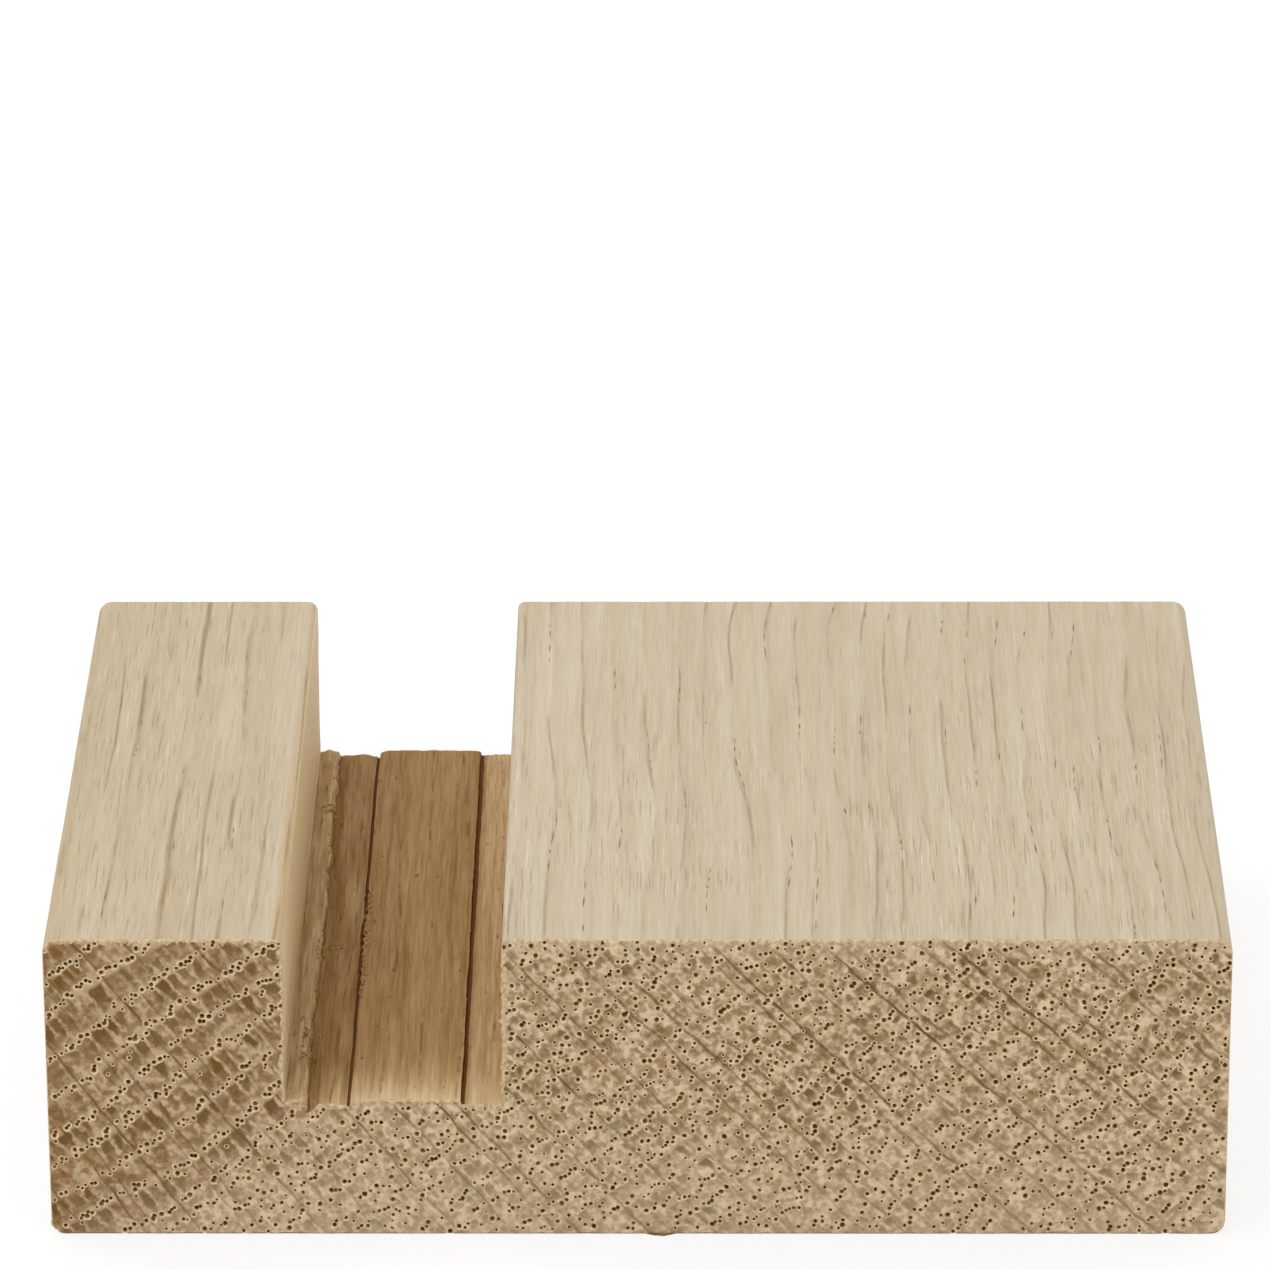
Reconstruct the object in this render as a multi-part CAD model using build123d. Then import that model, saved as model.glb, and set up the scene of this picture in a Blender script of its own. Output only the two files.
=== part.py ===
from build123d import *
import os

# Wooden photo block holder: one block of solid oak with a slot along its grain.
# Millimetres. +X runs across the block, +Y along the grain from the front end to the back, +Z up.
# The origin is the middle of the underside.

# Block
block_width = 65.0
block_length = 47.0
web_under_slot = 8.25
slot_depth = 9.75
narrow_post_width = 13.1
long_arris_radius = 0.8

# Slot, milled in three passes side by side, the outer two a little deeper than the middle one
narrow_side_pass_width = 3.6
middle_pass_width = 6.0
wide_side_pass_width = 2.4
side_pass_drop = 0.25
slot_arris_radius = 0.3

# Ridge left standing against the narrow post's wall
wall_ridge_width = 1.4
wall_ridge_height = 0.25

# Scored line on each side of the middle pass
score_width = 0.3
score_depth = 0.2

# Derived
block_height = web_under_slot + slot_depth
slot_width = narrow_side_pass_width + middle_pass_width + wide_side_pass_width
slot_left = narrow_post_width - block_width / 2
slot_right = slot_left + slot_width
middle_left = slot_left + narrow_side_pass_width
middle_right = middle_left + middle_pass_width
side_floor = web_under_slot - side_pass_drop
score_bottom = side_floor - score_depth


def cut_pass(left, right, floor):
    """Section of one milling pass, from its floor to the top of the block."""
    size = Rectangle(right - left, block_height - floor, align=(Align.MIN, Align.MIN))
    return Pos(left, floor) * size


def score_line(x):
    """Section of a V-shaped scored line where two passes meet."""
    corners = [
        (x - score_width / 2, web_under_slot),
        (x, score_bottom),
        (x + score_width / 2, web_under_slot),
    ]
    return make_face(Polyline(*corners, close=True))


def block_section():
    """Section across the grain, the same all along the block."""
    outline = Rectangle(block_width, block_height, align=(Align.CENTER, Align.MIN))
    section = fillet(outline.vertices(), long_arris_radius)
    section -= cut_pass(slot_left, middle_left, side_floor)
    section -= cut_pass(middle_left, middle_right, web_under_slot)
    section -= cut_pass(middle_right, slot_right, side_floor)
    section -= score_line(middle_left)
    section -= score_line(middle_right)
    ridge = Rectangle(wall_ridge_width, wall_ridge_height, align=(Align.MIN, Align.MIN))
    section += Pos(slot_left, side_floor) * ridge
    mouth = section.vertices().filter_by_position(Axis.X, slot_left, slot_right)
    return fillet(mouth.filter_by_position(Axis.Y, block_height, block_height), slot_arris_radius)


oak_block = extrude(Plane.XZ * block_section(), block_length / 2, both=True)
oak_block.label = "oak_block"

os.makedirs("parts", exist_ok=True)
export_step(oak_block, "parts/oak_block.step")
print("oak_block", [round(side, 3) for side in oak_block.bounding_box().size], round(oak_block.volume, 1))
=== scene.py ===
# %% [markdown]
# # An oak photo block holder
# The holder is one block of solid oak with a slot milled along its grain. There is nothing to put
# together, so the whole lesson is wood: how a tree's rings, rays and vessels show on a sawn end, on a
# planed face and in a milled slot. One rule about the tree drives all three, as it does in the real block.

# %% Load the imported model
import math
import random

import bpy
from mathutils import Matrix, Vector, noise


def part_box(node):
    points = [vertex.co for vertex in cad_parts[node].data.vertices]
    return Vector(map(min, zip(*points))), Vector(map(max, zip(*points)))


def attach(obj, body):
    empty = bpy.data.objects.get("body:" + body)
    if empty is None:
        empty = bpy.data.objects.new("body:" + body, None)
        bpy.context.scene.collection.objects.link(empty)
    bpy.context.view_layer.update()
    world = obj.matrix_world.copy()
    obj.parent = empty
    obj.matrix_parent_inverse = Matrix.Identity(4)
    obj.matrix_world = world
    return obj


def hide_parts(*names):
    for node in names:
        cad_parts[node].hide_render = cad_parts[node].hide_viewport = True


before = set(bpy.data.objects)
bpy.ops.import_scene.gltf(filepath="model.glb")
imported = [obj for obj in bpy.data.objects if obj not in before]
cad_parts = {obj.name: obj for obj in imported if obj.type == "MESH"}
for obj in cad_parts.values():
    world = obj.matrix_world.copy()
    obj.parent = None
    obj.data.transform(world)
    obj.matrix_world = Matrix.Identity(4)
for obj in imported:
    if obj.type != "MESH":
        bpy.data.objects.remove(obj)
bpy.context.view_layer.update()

MM = 0.001
low, high = (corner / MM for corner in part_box("oak_block"))
left, front, bottom = low
right, back, top = high
print("block in mm:", [round(side, 2) for side in high - low])

# %% [markdown]
# ## Camera
# The picture was taken with a long lens from a little above, so the block's sides hardly converge.
# A camera could be placed by eye, but here its distance, lens and tilt come from fitting the block's
# corners to the picture, which keeps every edge within about a pixel of its place.

# %% Camera
IMAGE_PX = 1270
FOCAL_PX = 8162
SENSOR_MM = 36
FAR_CLIP_M = 10
CAMERA_PLACE_MM = (3.1, front - 401.8, 210.2)
LOOK_DOWN, LOOK_LEFT, TILT = (math.radians(angle) for angle in (23.42, 0.45, -0.193))

scene = bpy.context.scene
lens = bpy.data.cameras.new("photo_camera")
lens.sensor_width = SENSOR_MM
lens.lens = FOCAL_PX / IMAGE_PX * SENSOR_MM
lens.clip_end = FAR_CLIP_M
camera = bpy.data.objects.new("photo_camera", lens)
turn = Matrix.Rotation(LOOK_LEFT, 4, "Z") @ Matrix.Rotation(math.pi / 2 - LOOK_DOWN, 4, "X")
camera.matrix_world = (
    Matrix.Translation(Vector(CAMERA_PLACE_MM) * MM) @ turn @ Matrix.Rotation(TILT, 4, "Z")
)
scene.collection.objects.link(camera)
scene.camera = camera
print("lens in mm:", round(lens.lens, 1))

# %% [markdown]
# ## Nodes and colours
# Materials and Geometry Nodes are both trees of nodes. One small function adds any node, sets it and
# links it, so each tree below reads as a list of steps, and the kinds and settings that come up often have
# short names. Colours are written as sRGB hex, the way a colour picker shows them, and turned into the
# linear values that a renderer adds up.

# %% Helpers for nodes and colours
MATH, VECTORS, REMAP = "ShaderNodeMath", "ShaderNodeVectorMath", "ShaderNodeMapRange"
BLEND, NOISE = "ShaderNodeMix", "ShaderNodeTexNoise"
PLUS, MINUS, TIMES, OVER = ({"operation": name} for name in ("ADD", "SUBTRACT", "MULTIPLY", "DIVIDE"))
TIMES_PLUS, MOST, ABOVE = ({"operation": name} for name in ("MULTIPLY_ADD", "MAXIMUM", "GREATER_THAN"))
SINE, ROUND, FRACTION, ZIGZAG = ({"operation": name} for name in ("SINE", "ROUND", "FRACT", "PINGPONG"))
SMOOTH = {"interpolation_type": "SMOOTHSTEP"}
RGBA = {"data_type": "RGBA"}
FLAT = {"noise_dimensions": "2D"}


def add(tree, kind, settings=None, inputs=None):
    """Adds one node. An input is a value, a socket, or a node, which gives its first output in use."""
    node = tree.nodes.new(kind)
    for name, value in (settings or {}).items():
        setattr(node, name, value)
    for name, value in (inputs or {}).items():
        named = [socket for socket in node.inputs if socket.enabled and socket.name == name]
        socket = named[0] if named else node.inputs[name]
        if isinstance(value, bpy.types.Node):
            value = next(output for output in value.outputs if output.enabled)
        if isinstance(value, bpy.types.NodeSocket):
            tree.links.new(value, socket)
        else:
            socket.default_value = value
    return node


def linear(hex_colour):
    """An sRGB hex colour as linear red, green, blue and an alpha of 1, by the curve of the sRGB standard."""
    shares = [int(hex_colour[i : i + 2], 16) / 255 for i in (1, 3, 5)]
    return [s / 12.92 if s <= 0.04045 else ((s + 0.055) / 1.055) ** 2.4 for s in shares] + [1]


print("mid grey is", round(linear("#808080")[0], 3))

# %% [markdown]
# ## Light
# The picture has a white ground and hardly any shadow, as from a light tent. Several lamps could copy the
# tent's walls. Here a dim white world fills the shadows from all sides, and one large lamp overhead gives
# the top face its lead over the front. The camera sees that world as pure white.

# %% A white room and a soft lamp
WORLD_FILL = 0.88
LAMP_PLACE_MM = (-220, 0, 620)
LAMP_SIZE_MM = 500
LAMP_WATTS = 1.1


def sees_white(tree):
    """Is 1 for the rays that should see a white room: the camera's own, reflected and refracted ones."""
    path = add(tree, "ShaderNodeLightPath").outputs
    seen = add(tree, MATH, MOST, {0: path["Is Camera Ray"], 1: path["Is Glossy Ray"]})
    return add(tree, MATH, MOST, {0: seen, 1: path["Is Transmission Ray"]})


world = bpy.data.worlds.new("white_room")
scene.world = world
world.use_nodes = True
tree = world.node_tree
tree.nodes.clear()
strength = add(tree, REMAP, {}, {"Value": sees_white(tree), "To Min": WORLD_FILL, "To Max": 1.0})
sky = add(tree, "ShaderNodeBackground", {}, {"Color": linear("#ffffff"), "Strength": strength})
add(tree, "ShaderNodeOutputWorld", {}, {"Surface": sky})

lamp_data = bpy.data.lights.new("soft_lamp", "AREA")
lamp_data.size = LAMP_SIZE_MM * MM
lamp_data.energy = LAMP_WATTS
lamp = bpy.data.objects.new("soft_lamp", lamp_data)
lamp.location = Vector(LAMP_PLACE_MM) * MM
lamp.rotation_euler = (-lamp.location).to_track_quat("-Z", "Y").to_euler()
scene.collection.objects.link(lamp)
scene.view_settings.view_transform = "Standard"
print("lamp's distance in mm:", round(lamp.location.length / MM))

# %% [markdown]
# ## Floor
# The block stands on white paper that melts into the ground, with a faint shadow at its edges. Paper that
# was only lit would come out grey. So for the camera most of this floor glows, and a share of it is real
# shading, which keeps the block's shadow. Light that bounces off it meets plain paper.

# %% White paper floor
FLOOR_HALF_MM = 3000
FLOOR_SHADING, FLOOR_GLOW = 0.3, 1.06

floor_paint = bpy.data.materials.new("white_paper_floor")
floor_paint.use_nodes = True
tree = floor_paint.node_tree
tree.nodes.clear()
glow_share = add(tree, MATH, TIMES, {0: sees_white(tree), 1: 1 - FLOOR_SHADING})
paper = add(tree, "ShaderNodeBsdfDiffuse", {}, {"Color": linear("#f4f4f4")})
glow = add(tree, "ShaderNodeEmission", {}, {"Color": linear("#ffffff"), "Strength": FLOOR_GLOW})
both = add(tree, "ShaderNodeMixShader", {}, {0: glow_share, 1: paper, 2: glow})
add(tree, "ShaderNodeOutputMaterial", {}, {"Surface": both})

half = FLOOR_HALF_MM * MM
corners = [(x * half, y * half, bottom * MM) for x, y in ((-1, -1), (1, -1), (1, 1), (-1, 1))]
floor_mesh = bpy.data.meshes.new("floor")
floor_mesh.from_pydata(corners, [], [(0, 1, 2, 3)])
floor_mesh.materials.append(floor_paint)
floor = bpy.data.objects.new("floor", floor_mesh)
scene.collection.objects.link(floor)
print("floor's width in mm:", 2 * FLOOR_HALF_MM)

# %% [markdown]
# ## The tree inside the block
# A log is a stack of cones round its pith, the tree's centre. Where the saw cut this block, the pith lay
# far up and to the left of it, so on the end the growth rings run up to the right and the rays run down
# to the right. Every pattern below asks the same question: how far is this point from the pith, and in
# which direction? Along the grain the rings wave a little, less so on the side of the narrow post, where
# the picture shows straighter lines. The answer is worked out twice from the same numbers, once in Python,
# to place the open vessels, and once in shader nodes, to colour the wood between them.

# %% Where a point lies in the tree
PITH_X, PITH_Z = -134.7, 154.6
MIDDLE_RADIUS_MM = 197.0
STRAIGHT_TO_MM, WAVY_FROM_MM = 108.0, 140.0
STRAIGHT_SHARE = 0.3
PLACE_STEPS = 6

# Each wave of the rings: its way, in radians per mm, and its height in mm
RING_WAVES = (((0.21, 0.0, 0.33), 0.28), ((-0.62, 0.06, 0.55), 0.13), ((1.15, 0.0, -1.23), 0.12))
GRAIN_WAVES = (((0.07, 0.13, -0.02), 0.26), ((0.13, 0.33, -0.06), 0.09), ((-0.22, 0.71, 0.04), 0.025))


def tree_place(x, y, z):
    """Where a point lies in the tree, in mm: its distance from the pith, and its way along the ring."""
    from_pith = Vector((x - PITH_X, y, z - PITH_Z))
    radius = math.hypot(from_pith.x, from_pith.z)
    straight = min(max((from_pith.x - STRAIGHT_TO_MM) / (WAVY_FROM_MM - STRAIGHT_TO_MM), 0), 1)
    for waves, share in ((RING_WAVES, 1), (GRAIN_WAVES, STRAIGHT_SHARE + (1 - STRAIGHT_SHARE) * straight)):
        radius += share * sum(size * math.sin(from_pith.dot(Vector(way))) for way, size in waves)
    return radius, math.atan2(from_pith.z, from_pith.x) * MIDDLE_RADIUS_MM


def block_place(radius, along, y):
    """The x and z in mm of a place in the tree: tree_place turned round, by stepping towards it."""
    angle = along / MIDDLE_RADIUS_MM
    reach = radius
    for _ in range(PLACE_STEPS):
        x, z = PITH_X + reach * math.cos(angle), PITH_Z + reach * math.sin(angle)
        reach += radius - tree_place(x, y, z)[0]
    return x, z


nearest_mm, farthest_mm = tree_place(left, front, top)[0], tree_place(right, front, bottom)[0]
print("front end from the pith in mm:", round(nearest_mm, 1), "to", round(farthest_mm, 1))

# %% Counting rings and rays
WIDE_RING_MM, NARROW_RING_MM = 1.82, 1.22
WIDE_RINGS_END_MM = 187.5
RAY_GAP_MM = 1.7
RAY_SHIFT, RAY_STRIDE = 0.36, 2.4


def ring_count(radius):
    """Rings from the pith out. The tree grew wide rings first, and narrow ones later."""
    narrow = max(radius - WIDE_RINGS_END_MM, 0)
    return min(radius, WIDE_RINGS_END_MM) / WIDE_RING_MM + narrow / NARROW_RING_MM


def ring_radius(count):
    """The distance from the pith at which a ring starts."""
    wide = WIDE_RINGS_END_MM / WIDE_RING_MM
    return min(count, wide) * WIDE_RING_MM + max(count - wide, 0) * NARROW_RING_MM


def ray_distance(along):
    """Distance in mm from a place along the ring to the nearest broad ray."""
    steps = along / RAY_GAP_MM
    nearest = round(steps)
    return abs(steps - nearest - RAY_SHIFT * math.sin(RAY_STRIDE * nearest)) * RAY_GAP_MM


print("rings over the front end:", round(ring_count(farthest_mm) - ring_count(nearest_mm), 1))

# %% [markdown]
# ## The block before its pores
# The shape is a section drawn once and carried along the grain. A cube with a box cut out of it would be
# the quick way, but it would lose what the cutter left in the slot. So the slot is a fine grid whose
# heights follow a formula, and the flat outer faces stay as few large polygons.

# %% Sizes of the section
NARROW_POST = 13.1
SLOT_WIDTH = 12.0
SLOT_DEPTH = 9.75

slot_left = left + NARROW_POST
slot_right = slot_left + SLOT_WIDTH
slot_floor = top - SLOT_DEPTH


def run_along(y):
    """The share of the block's length that lies before y: 0 at the front end, 1 at the back."""
    return (y - front) / (back - front)


def wobble(scale, u, v):
    """Smooth noise from about -1 to 1 that changes over 1 / scale mm. A fixed u picks a line of its own."""
    return noise.noise(Vector((u, v, 0)) * scale)


print("slot from and to in mm:", [round(edge, 2) for edge in (slot_left, slot_right)])

# %% [markdown]
# ## The slot's floor
# The cutter ran along the slot three times. It left three passes at different depths, a scored line on
# each side of the middle one, and a ridge of torn fibres against the narrow post. All this could be
# sculpted by hand. Here each form is a row of columns across the floor, which say how far from the left
# wall they are, how high, and in which tone, and noise moves them along the grain, so every line wavers
# by itself. The number before each wobble is how far, in mm or in tone. The tone is how brown the cutter
# left a strip: below 0 it is scorched, 1 is tan, and 2 is as pale as planed wood. Some tones also paint
# light and shade: the gap at the ridge's foot, the right scored line and the strip beside it are darkened
# as painted shade, and the walls are painted pale near the top as painted light.

# %% The torn ridge
RIDGE_WIDTH = 1.1
RIDGE_SHARES = (0, 0.08, 0.2, 0.35, 0.5, 0.63, 0.75, 0.86, 0.94, 1)
RIDGE_CROWN, RIDGE_SINK = 0.1, 0.08
RIDGE_TONE = 0.72
RIDGE_EDGE_FROM, RIDGE_EDGE_TONE = 0.7, 0.35
# The gap at the ridge's foot is darkened as a painted shadow line, and more so in the notch at the front end
GAP_WIDTH, GAP_SHADE = 0.1, 0.3
NOTCH_DEPTH, NOTCH_LENGTH, NOTCH_SHADE = 0.5, 1.1, 2
LEFT_DROP = 0.36
LEFT_PASS_TONE, FOOT_BROWNING = 0.28, 0.15
SCORE_TONE = -0.75

# At the ridge's foot: mm from its edge, and rise in mm
RIDGE_FOOT = ((0.07, 0.0), (0.2, -0.02), (0.34, 0.03))

# Each splinter's y, its distance from the wall, its half sizes along and across, and its height
SPLINTERS = (
    (14.9, 1.0, 0.5, 0.6, 0.36),
    (17.5, 0.75, 1.5, 0.4, 0.24),
    (21.0, 0.8, 1.4, 0.45, 0.24),
    (-3.5, 1.9, 0.4, 0.9, 0.22),
    (-15.8, 0.95, 1.0, 0.3, 0.26),
    (-18.6, 0.85, 0.9, 0.3, 0.28),
)


def splinter_height(y, d):
    """Height in mm of the torn splinters at y, d mm from the left wall."""
    rise = 0
    for splinter_y, splinter_d, half_y, half_d, height in SPLINTERS:
        away = math.hypot((y - splinter_y) / half_y, (d - splinter_d) / half_d)
        rise += height * max(0, 1 - away) * (1 + 0.9 * wobble(3.3, d, y))
    return rise


def ridge_columns(y):
    """The torn ridge against the left wall, and the gap at its foot, which is notched at the front end and
    darkened as a painted shadow line.
    """
    edge = RIDGE_WIDTH + 0.15 * wobble(0.14, 3, y) + 0.14 * wobble(0.9, 5, y) + 0.08 * wobble(2.4, 7, y)
    edge_tone = RIDGE_EDGE_TONE * max(0, 0.55 + 1.2 * wobble(0.3, 13, y))
    columns = []
    for share in RIDGE_SHARES:
        torn = 0.1 * wobble(0.9, share * 1.9, y * 0.2) + 0.06 * wobble(2.7, share * 2.6, y * 0.4)
        torn += splinter_height(y, share * edge)
        height = RIDGE_CROWN * math.sin(math.pi * share) - RIDGE_SINK + torn
        streak = 0.5 * wobble(2.2, share * 2.5, y * 0.12) + (edge_tone if share > RIDGE_EDGE_FROM else 0)
        columns.append((share * edge, height, RIDGE_TONE + streak))
    notch = NOTCH_DEPTH * max(0, 1 - (y - front) / NOTCH_LENGTH)
    # Painted shadow in the gap at the ridge's foot, darkest in the notch
    gap_shade_tone = SCORE_TONE * (GAP_SHADE + max(0, wobble(0.5, 71, y)) + NOTCH_SHADE * notch)
    for step, rise in RIDGE_FOOT:
        height = -LEFT_DROP + rise - notch + 0.03 * wobble(1.3, 11, y)
        tone = gap_shade_tone if step < GAP_WIDTH else LEFT_PASS_TONE - FOOT_BROWNING
        columns.append((edge + step, height, tone))
    return columns


print("columns over the ridge:", len(ridge_columns(0)))

# %% The scored lines
LEFT_SCORE_HALF, RIGHT_SCORE_HALF = 0.1, 0.13
LEFT_SCORE_DEPTH, RIGHT_SCORE_DEPTH = 0.12, 0.04
LEFT_LIP_DROP, RIGHT_LIP_DROP = 0.16, 0.06
SCORE_BED_SHARE = 0.45
SCORE_EDGE_DROP = 0.03
CRUMB_RISE = 0.2
# The right scored line is scorched and, since its groove is too shallow to cast much shadow, also darkened as
# painted shade
RIGHT_SCORE_SCORCH_AND_SHADE = -1.2
MIDDLE_PASS_TONE = 0.48
# The strip just right of the right scored line loses tone: painted shade beside the line
RIGHT_PASS_TONE, SCORE_SIDE_SHADE = 0.93, 0.5


def score_columns(place, y, frayed, drop, middle_side):
    """The scored line between two passes. middle_side is 1 if the middle pass lies on its right, else -1."""
    half, depth, lip_drop = LEFT_SCORE_HALF, LEFT_SCORE_DEPTH, LEFT_LIP_DROP
    tone, next_tone = SCORE_TONE, MIDDLE_PASS_TONE
    if middle_side < 0:
        half = RIGHT_SCORE_HALF * (1 + 0.3 * wobble(0.12, 53, y) + 0.25 * wobble(1.1, 57, y))
        depth, lip_drop = RIGHT_SCORE_DEPTH, RIGHT_LIP_DROP
        tone, next_tone = RIGHT_SCORE_SCORCH_AND_SHADE, RIGHT_PASS_TONE - SCORE_SIDE_SHADE
    bed = SCORE_BED_SHARE * half
    bed_height = -drop - depth * (1 + 0.6 * wobble(0.5, 41 + place, y))
    crumbs = CRUMB_RISE * frayed * max(0, wobble(2.6, 47 + place, y) + 0.1)
    offsets = (-half, -bed, bed, half + crumbs / 2)
    heights = (-drop - SCORE_EDGE_DROP, bed_height, bed_height, crumbs - lip_drop)
    line = [(place + middle_side * offset, height) for offset, height in zip(offsets, heights)][::middle_side]
    return [(d, height, shade) for (d, height), shade in zip(line, (tone, tone, tone, next_tone))]


print("columns over a scored line:", len(score_columns(0, 0, 0, 0, 1)))

# %% Three passes side by side
MIDDLE_SHARES = (0.18, 0.3, 0.42, 0.54, 0.66, 0.78)
MIDDLE_FADE = 0.16
LIP_WIDTH, LIP_TONE = 0.2, 0.3
RIGHT_DROP = 0.27

# Shares of a pass's width, with a rise in mm on the left pass, and on the right one a loss of tone that is
# painted shade beside the scored line
LEFT_PASS_CROWN = ((0.2, 0.05), (0.4, 0.1), (0.6, 0.12), (0.78, 0.06), (0.92, 0))
RIGHT_PASS_SHADE = ((0.08, 0.2), (0.16, 0.08), (0.3, 0.08), (0.5, 0), (0.75, 0), (1, 0))

# The middle pass's shoulders: mm from its edge, and fall in mm. The right one is a third as worn
LEFT_SHOULDER = ((0.13, -0.08), (0.25, -0.04), (0.45, -0.01))
RIGHT_SHOULDER = [(step, fall / 3) for step, fall in reversed(LEFT_SHOULDER)]


def left_pass(start, stop, y):
    """The left pass: crowned, streaked and dark."""
    columns = []
    for share, rise in LEFT_PASS_CROWN:
        d = start + share * (stop - start)
        height = -LEFT_DROP + rise + 0.05 * wobble(0.8, d, y * 0.35) + splinter_height(y, d)
        columns.append((d, height, LEFT_PASS_TONE + 0.42 * wobble(2.3, d, y * 0.07)))
    return columns


def middle_pass(start, stop, y):
    """The middle pass: the highest, with worn shoulders and a pale right lip, and browner to the back."""
    places = [(start + step, fall) for step, fall in LEFT_SHOULDER]
    places += [(start + share * (stop - start), 0) for share in MIDDLE_SHARES]
    places += [(stop - step, fall) for step, fall in RIGHT_SHOULDER]
    middle_tone = MIDDLE_PASS_TONE - MIDDLE_FADE * run_along(y)
    columns = []
    for d, fall in places:
        ripple = 0.03 * wobble(0.7, d, y * 0.15) + 0.012 * wobble(2.5, d, y * 0.2)
        lip = LIP_TONE * (1 - run_along(y)) if stop - d < LIP_WIDTH else 0
        columns.append((d, fall + ripple, middle_tone + lip + 0.12 * wobble(1.1, d, y * 0.06)))
    return columns


def right_pass(start, y):
    """The right pass, up to the right wall: pale, with painted shade beside the scored line."""
    columns = []
    for share, side_shade in RIGHT_PASS_SHADE:
        d = start + share * (SLOT_WIDTH - start)
        columns.append((d, -RIGHT_DROP + 0.03 * wobble(0.8, d, y * 0.2), RIGHT_PASS_TONE - side_shade))
    return columns


print("columns over the middle pass:", len(middle_pass(0, 1, 0)))

# %% The whole floor at one place along the grain
LEFT_SCORE, RIGHT_SCORE = 3.5, 9.78
FRAYED_FROM, FRAYED_TO, LEAST_FRAYED = -11.0, 4.0, 0.1
END_PALE_MM, END_PALE_TONE, END_PALE_SIDE, END_PALE_FADE = 6.5, 0.96, 0.45, 1.8


def floor_columns(y):
    """Across the slot's floor at y: (mm from the left wall, height in mm, tone of the strip that follows)."""
    frayed = 1 if FRAYED_FROM < y < FRAYED_TO else LEAST_FRAYED
    left_score = LEFT_SCORE + 0.06 * wobble(0.3, 21, y) + 0.1 * frayed * wobble(1.9, 23, y)
    right_score = RIGHT_SCORE + 0.04 * wobble(0.25, 31, y)
    columns = ridge_columns(y)
    ridge_end, middle_end = columns[-1][0], right_score - RIGHT_SCORE_HALF
    columns += left_pass(ridge_end, left_score - LEFT_SCORE_HALF, y)
    columns += score_columns(left_score, y, frayed, LEFT_DROP, 1)
    columns += middle_pass(left_score + LEFT_SCORE_HALF, middle_end, y)
    columns += score_columns(right_score, y, LEAST_FRAYED, RIGHT_DROP, -1)
    columns += right_pass(right_score + RIGHT_SCORE_HALF, y)

    # The front end is paler, most of all on the left and middle passes
    pale = END_PALE_TONE * max(0, 1 - (y - front) / END_PALE_MM) ** END_PALE_FADE
    shares = [1 if ridge_end < d < middle_end and tone > 0 else END_PALE_SIDE for d, _, tone in columns]
    return [(d, height, tone + pale * share) for (d, height, tone), share in zip(columns, shares)]


print("columns over the slot's floor:", len(floor_columns(0)))

# %% [markdown]
# ## The section
# A planed block has no sharp corners: its long arrises are rounded by a hand plane or by sanding. A Bevel
# modifier could round them, but the walls need a tone at each height as well, so the section is worked out
# point by point. Each point also knows its way into the wood, which the sawn edges need.

# %% Walls and mouth of the slot
LEFT_MOUTH_ARRIS, RIGHT_MOUTH_ARRIS = 0.55, 0.4
MOUTH_STEPS, PLANED_MOUTH_STEPS = 8, 5
MOUTH_WARMTH, MOUTH_COOLING = 0.55, 0.8
MOUTH_TONE, MOUTH_BACK_TONE = 1.5, 0.65
WALL_LEVELS = (0.08, 0.2, 0.35, 0.5, 0.65, 0.8, 0.92)
# The walls' tops are painted paler than the wood, a painted light against the shade inside the slot
WALL_TOP_LIT_TONE, WALL_FOOT_TONE, WALL_BACK_TONE = 2.4, 1.0, 0.95
LEFT_WALL_BEND, RIGHT_WALL_BEND = 1.6, 1
LEFT_WALL_SEED, RIGHT_WALL_SEED = 0, 90


def arc(centre_x, centre_z, radius, from_angle, to_angle, steps):
    """A rounded arris, its angles in quarter turns: points and their way into the wood, (x, z, ix, iz)."""
    angles = [(from_angle + (to_angle - from_angle) * i / steps) * math.pi / 2 for i in range(steps + 1)]
    ways = [(math.cos(angle), math.sin(angle)) for angle in angles]
    return [(centre_x + radius * u, centre_z + radius * v, -u, -v) for u, v in ways]


def wall_path(x, wall_top, foot, ix, y, bend, seed):
    """A wall of the slot from the top down: painted pale above, a painted light against the slot's shade, and
    browner by a power of the depth, bend.
    """
    foot_tone = WALL_FOOT_TONE + WALL_BACK_TONE * run_along(y)
    path = []
    for share in WALL_LEVELS:
        z = wall_top + share * (foot - wall_top)
        streak = 0.22 * wobble(1.4, z + seed, y * 0.05)
        tone = WALL_TOP_LIT_TONE + share**bend * (foot_tone - WALL_TOP_LIT_TONE) + streak
        path.append((x + 0.04 * wobble(0.5, z + seed, y * 0.12), z, ix, 0.0, tone))
    return path


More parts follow.
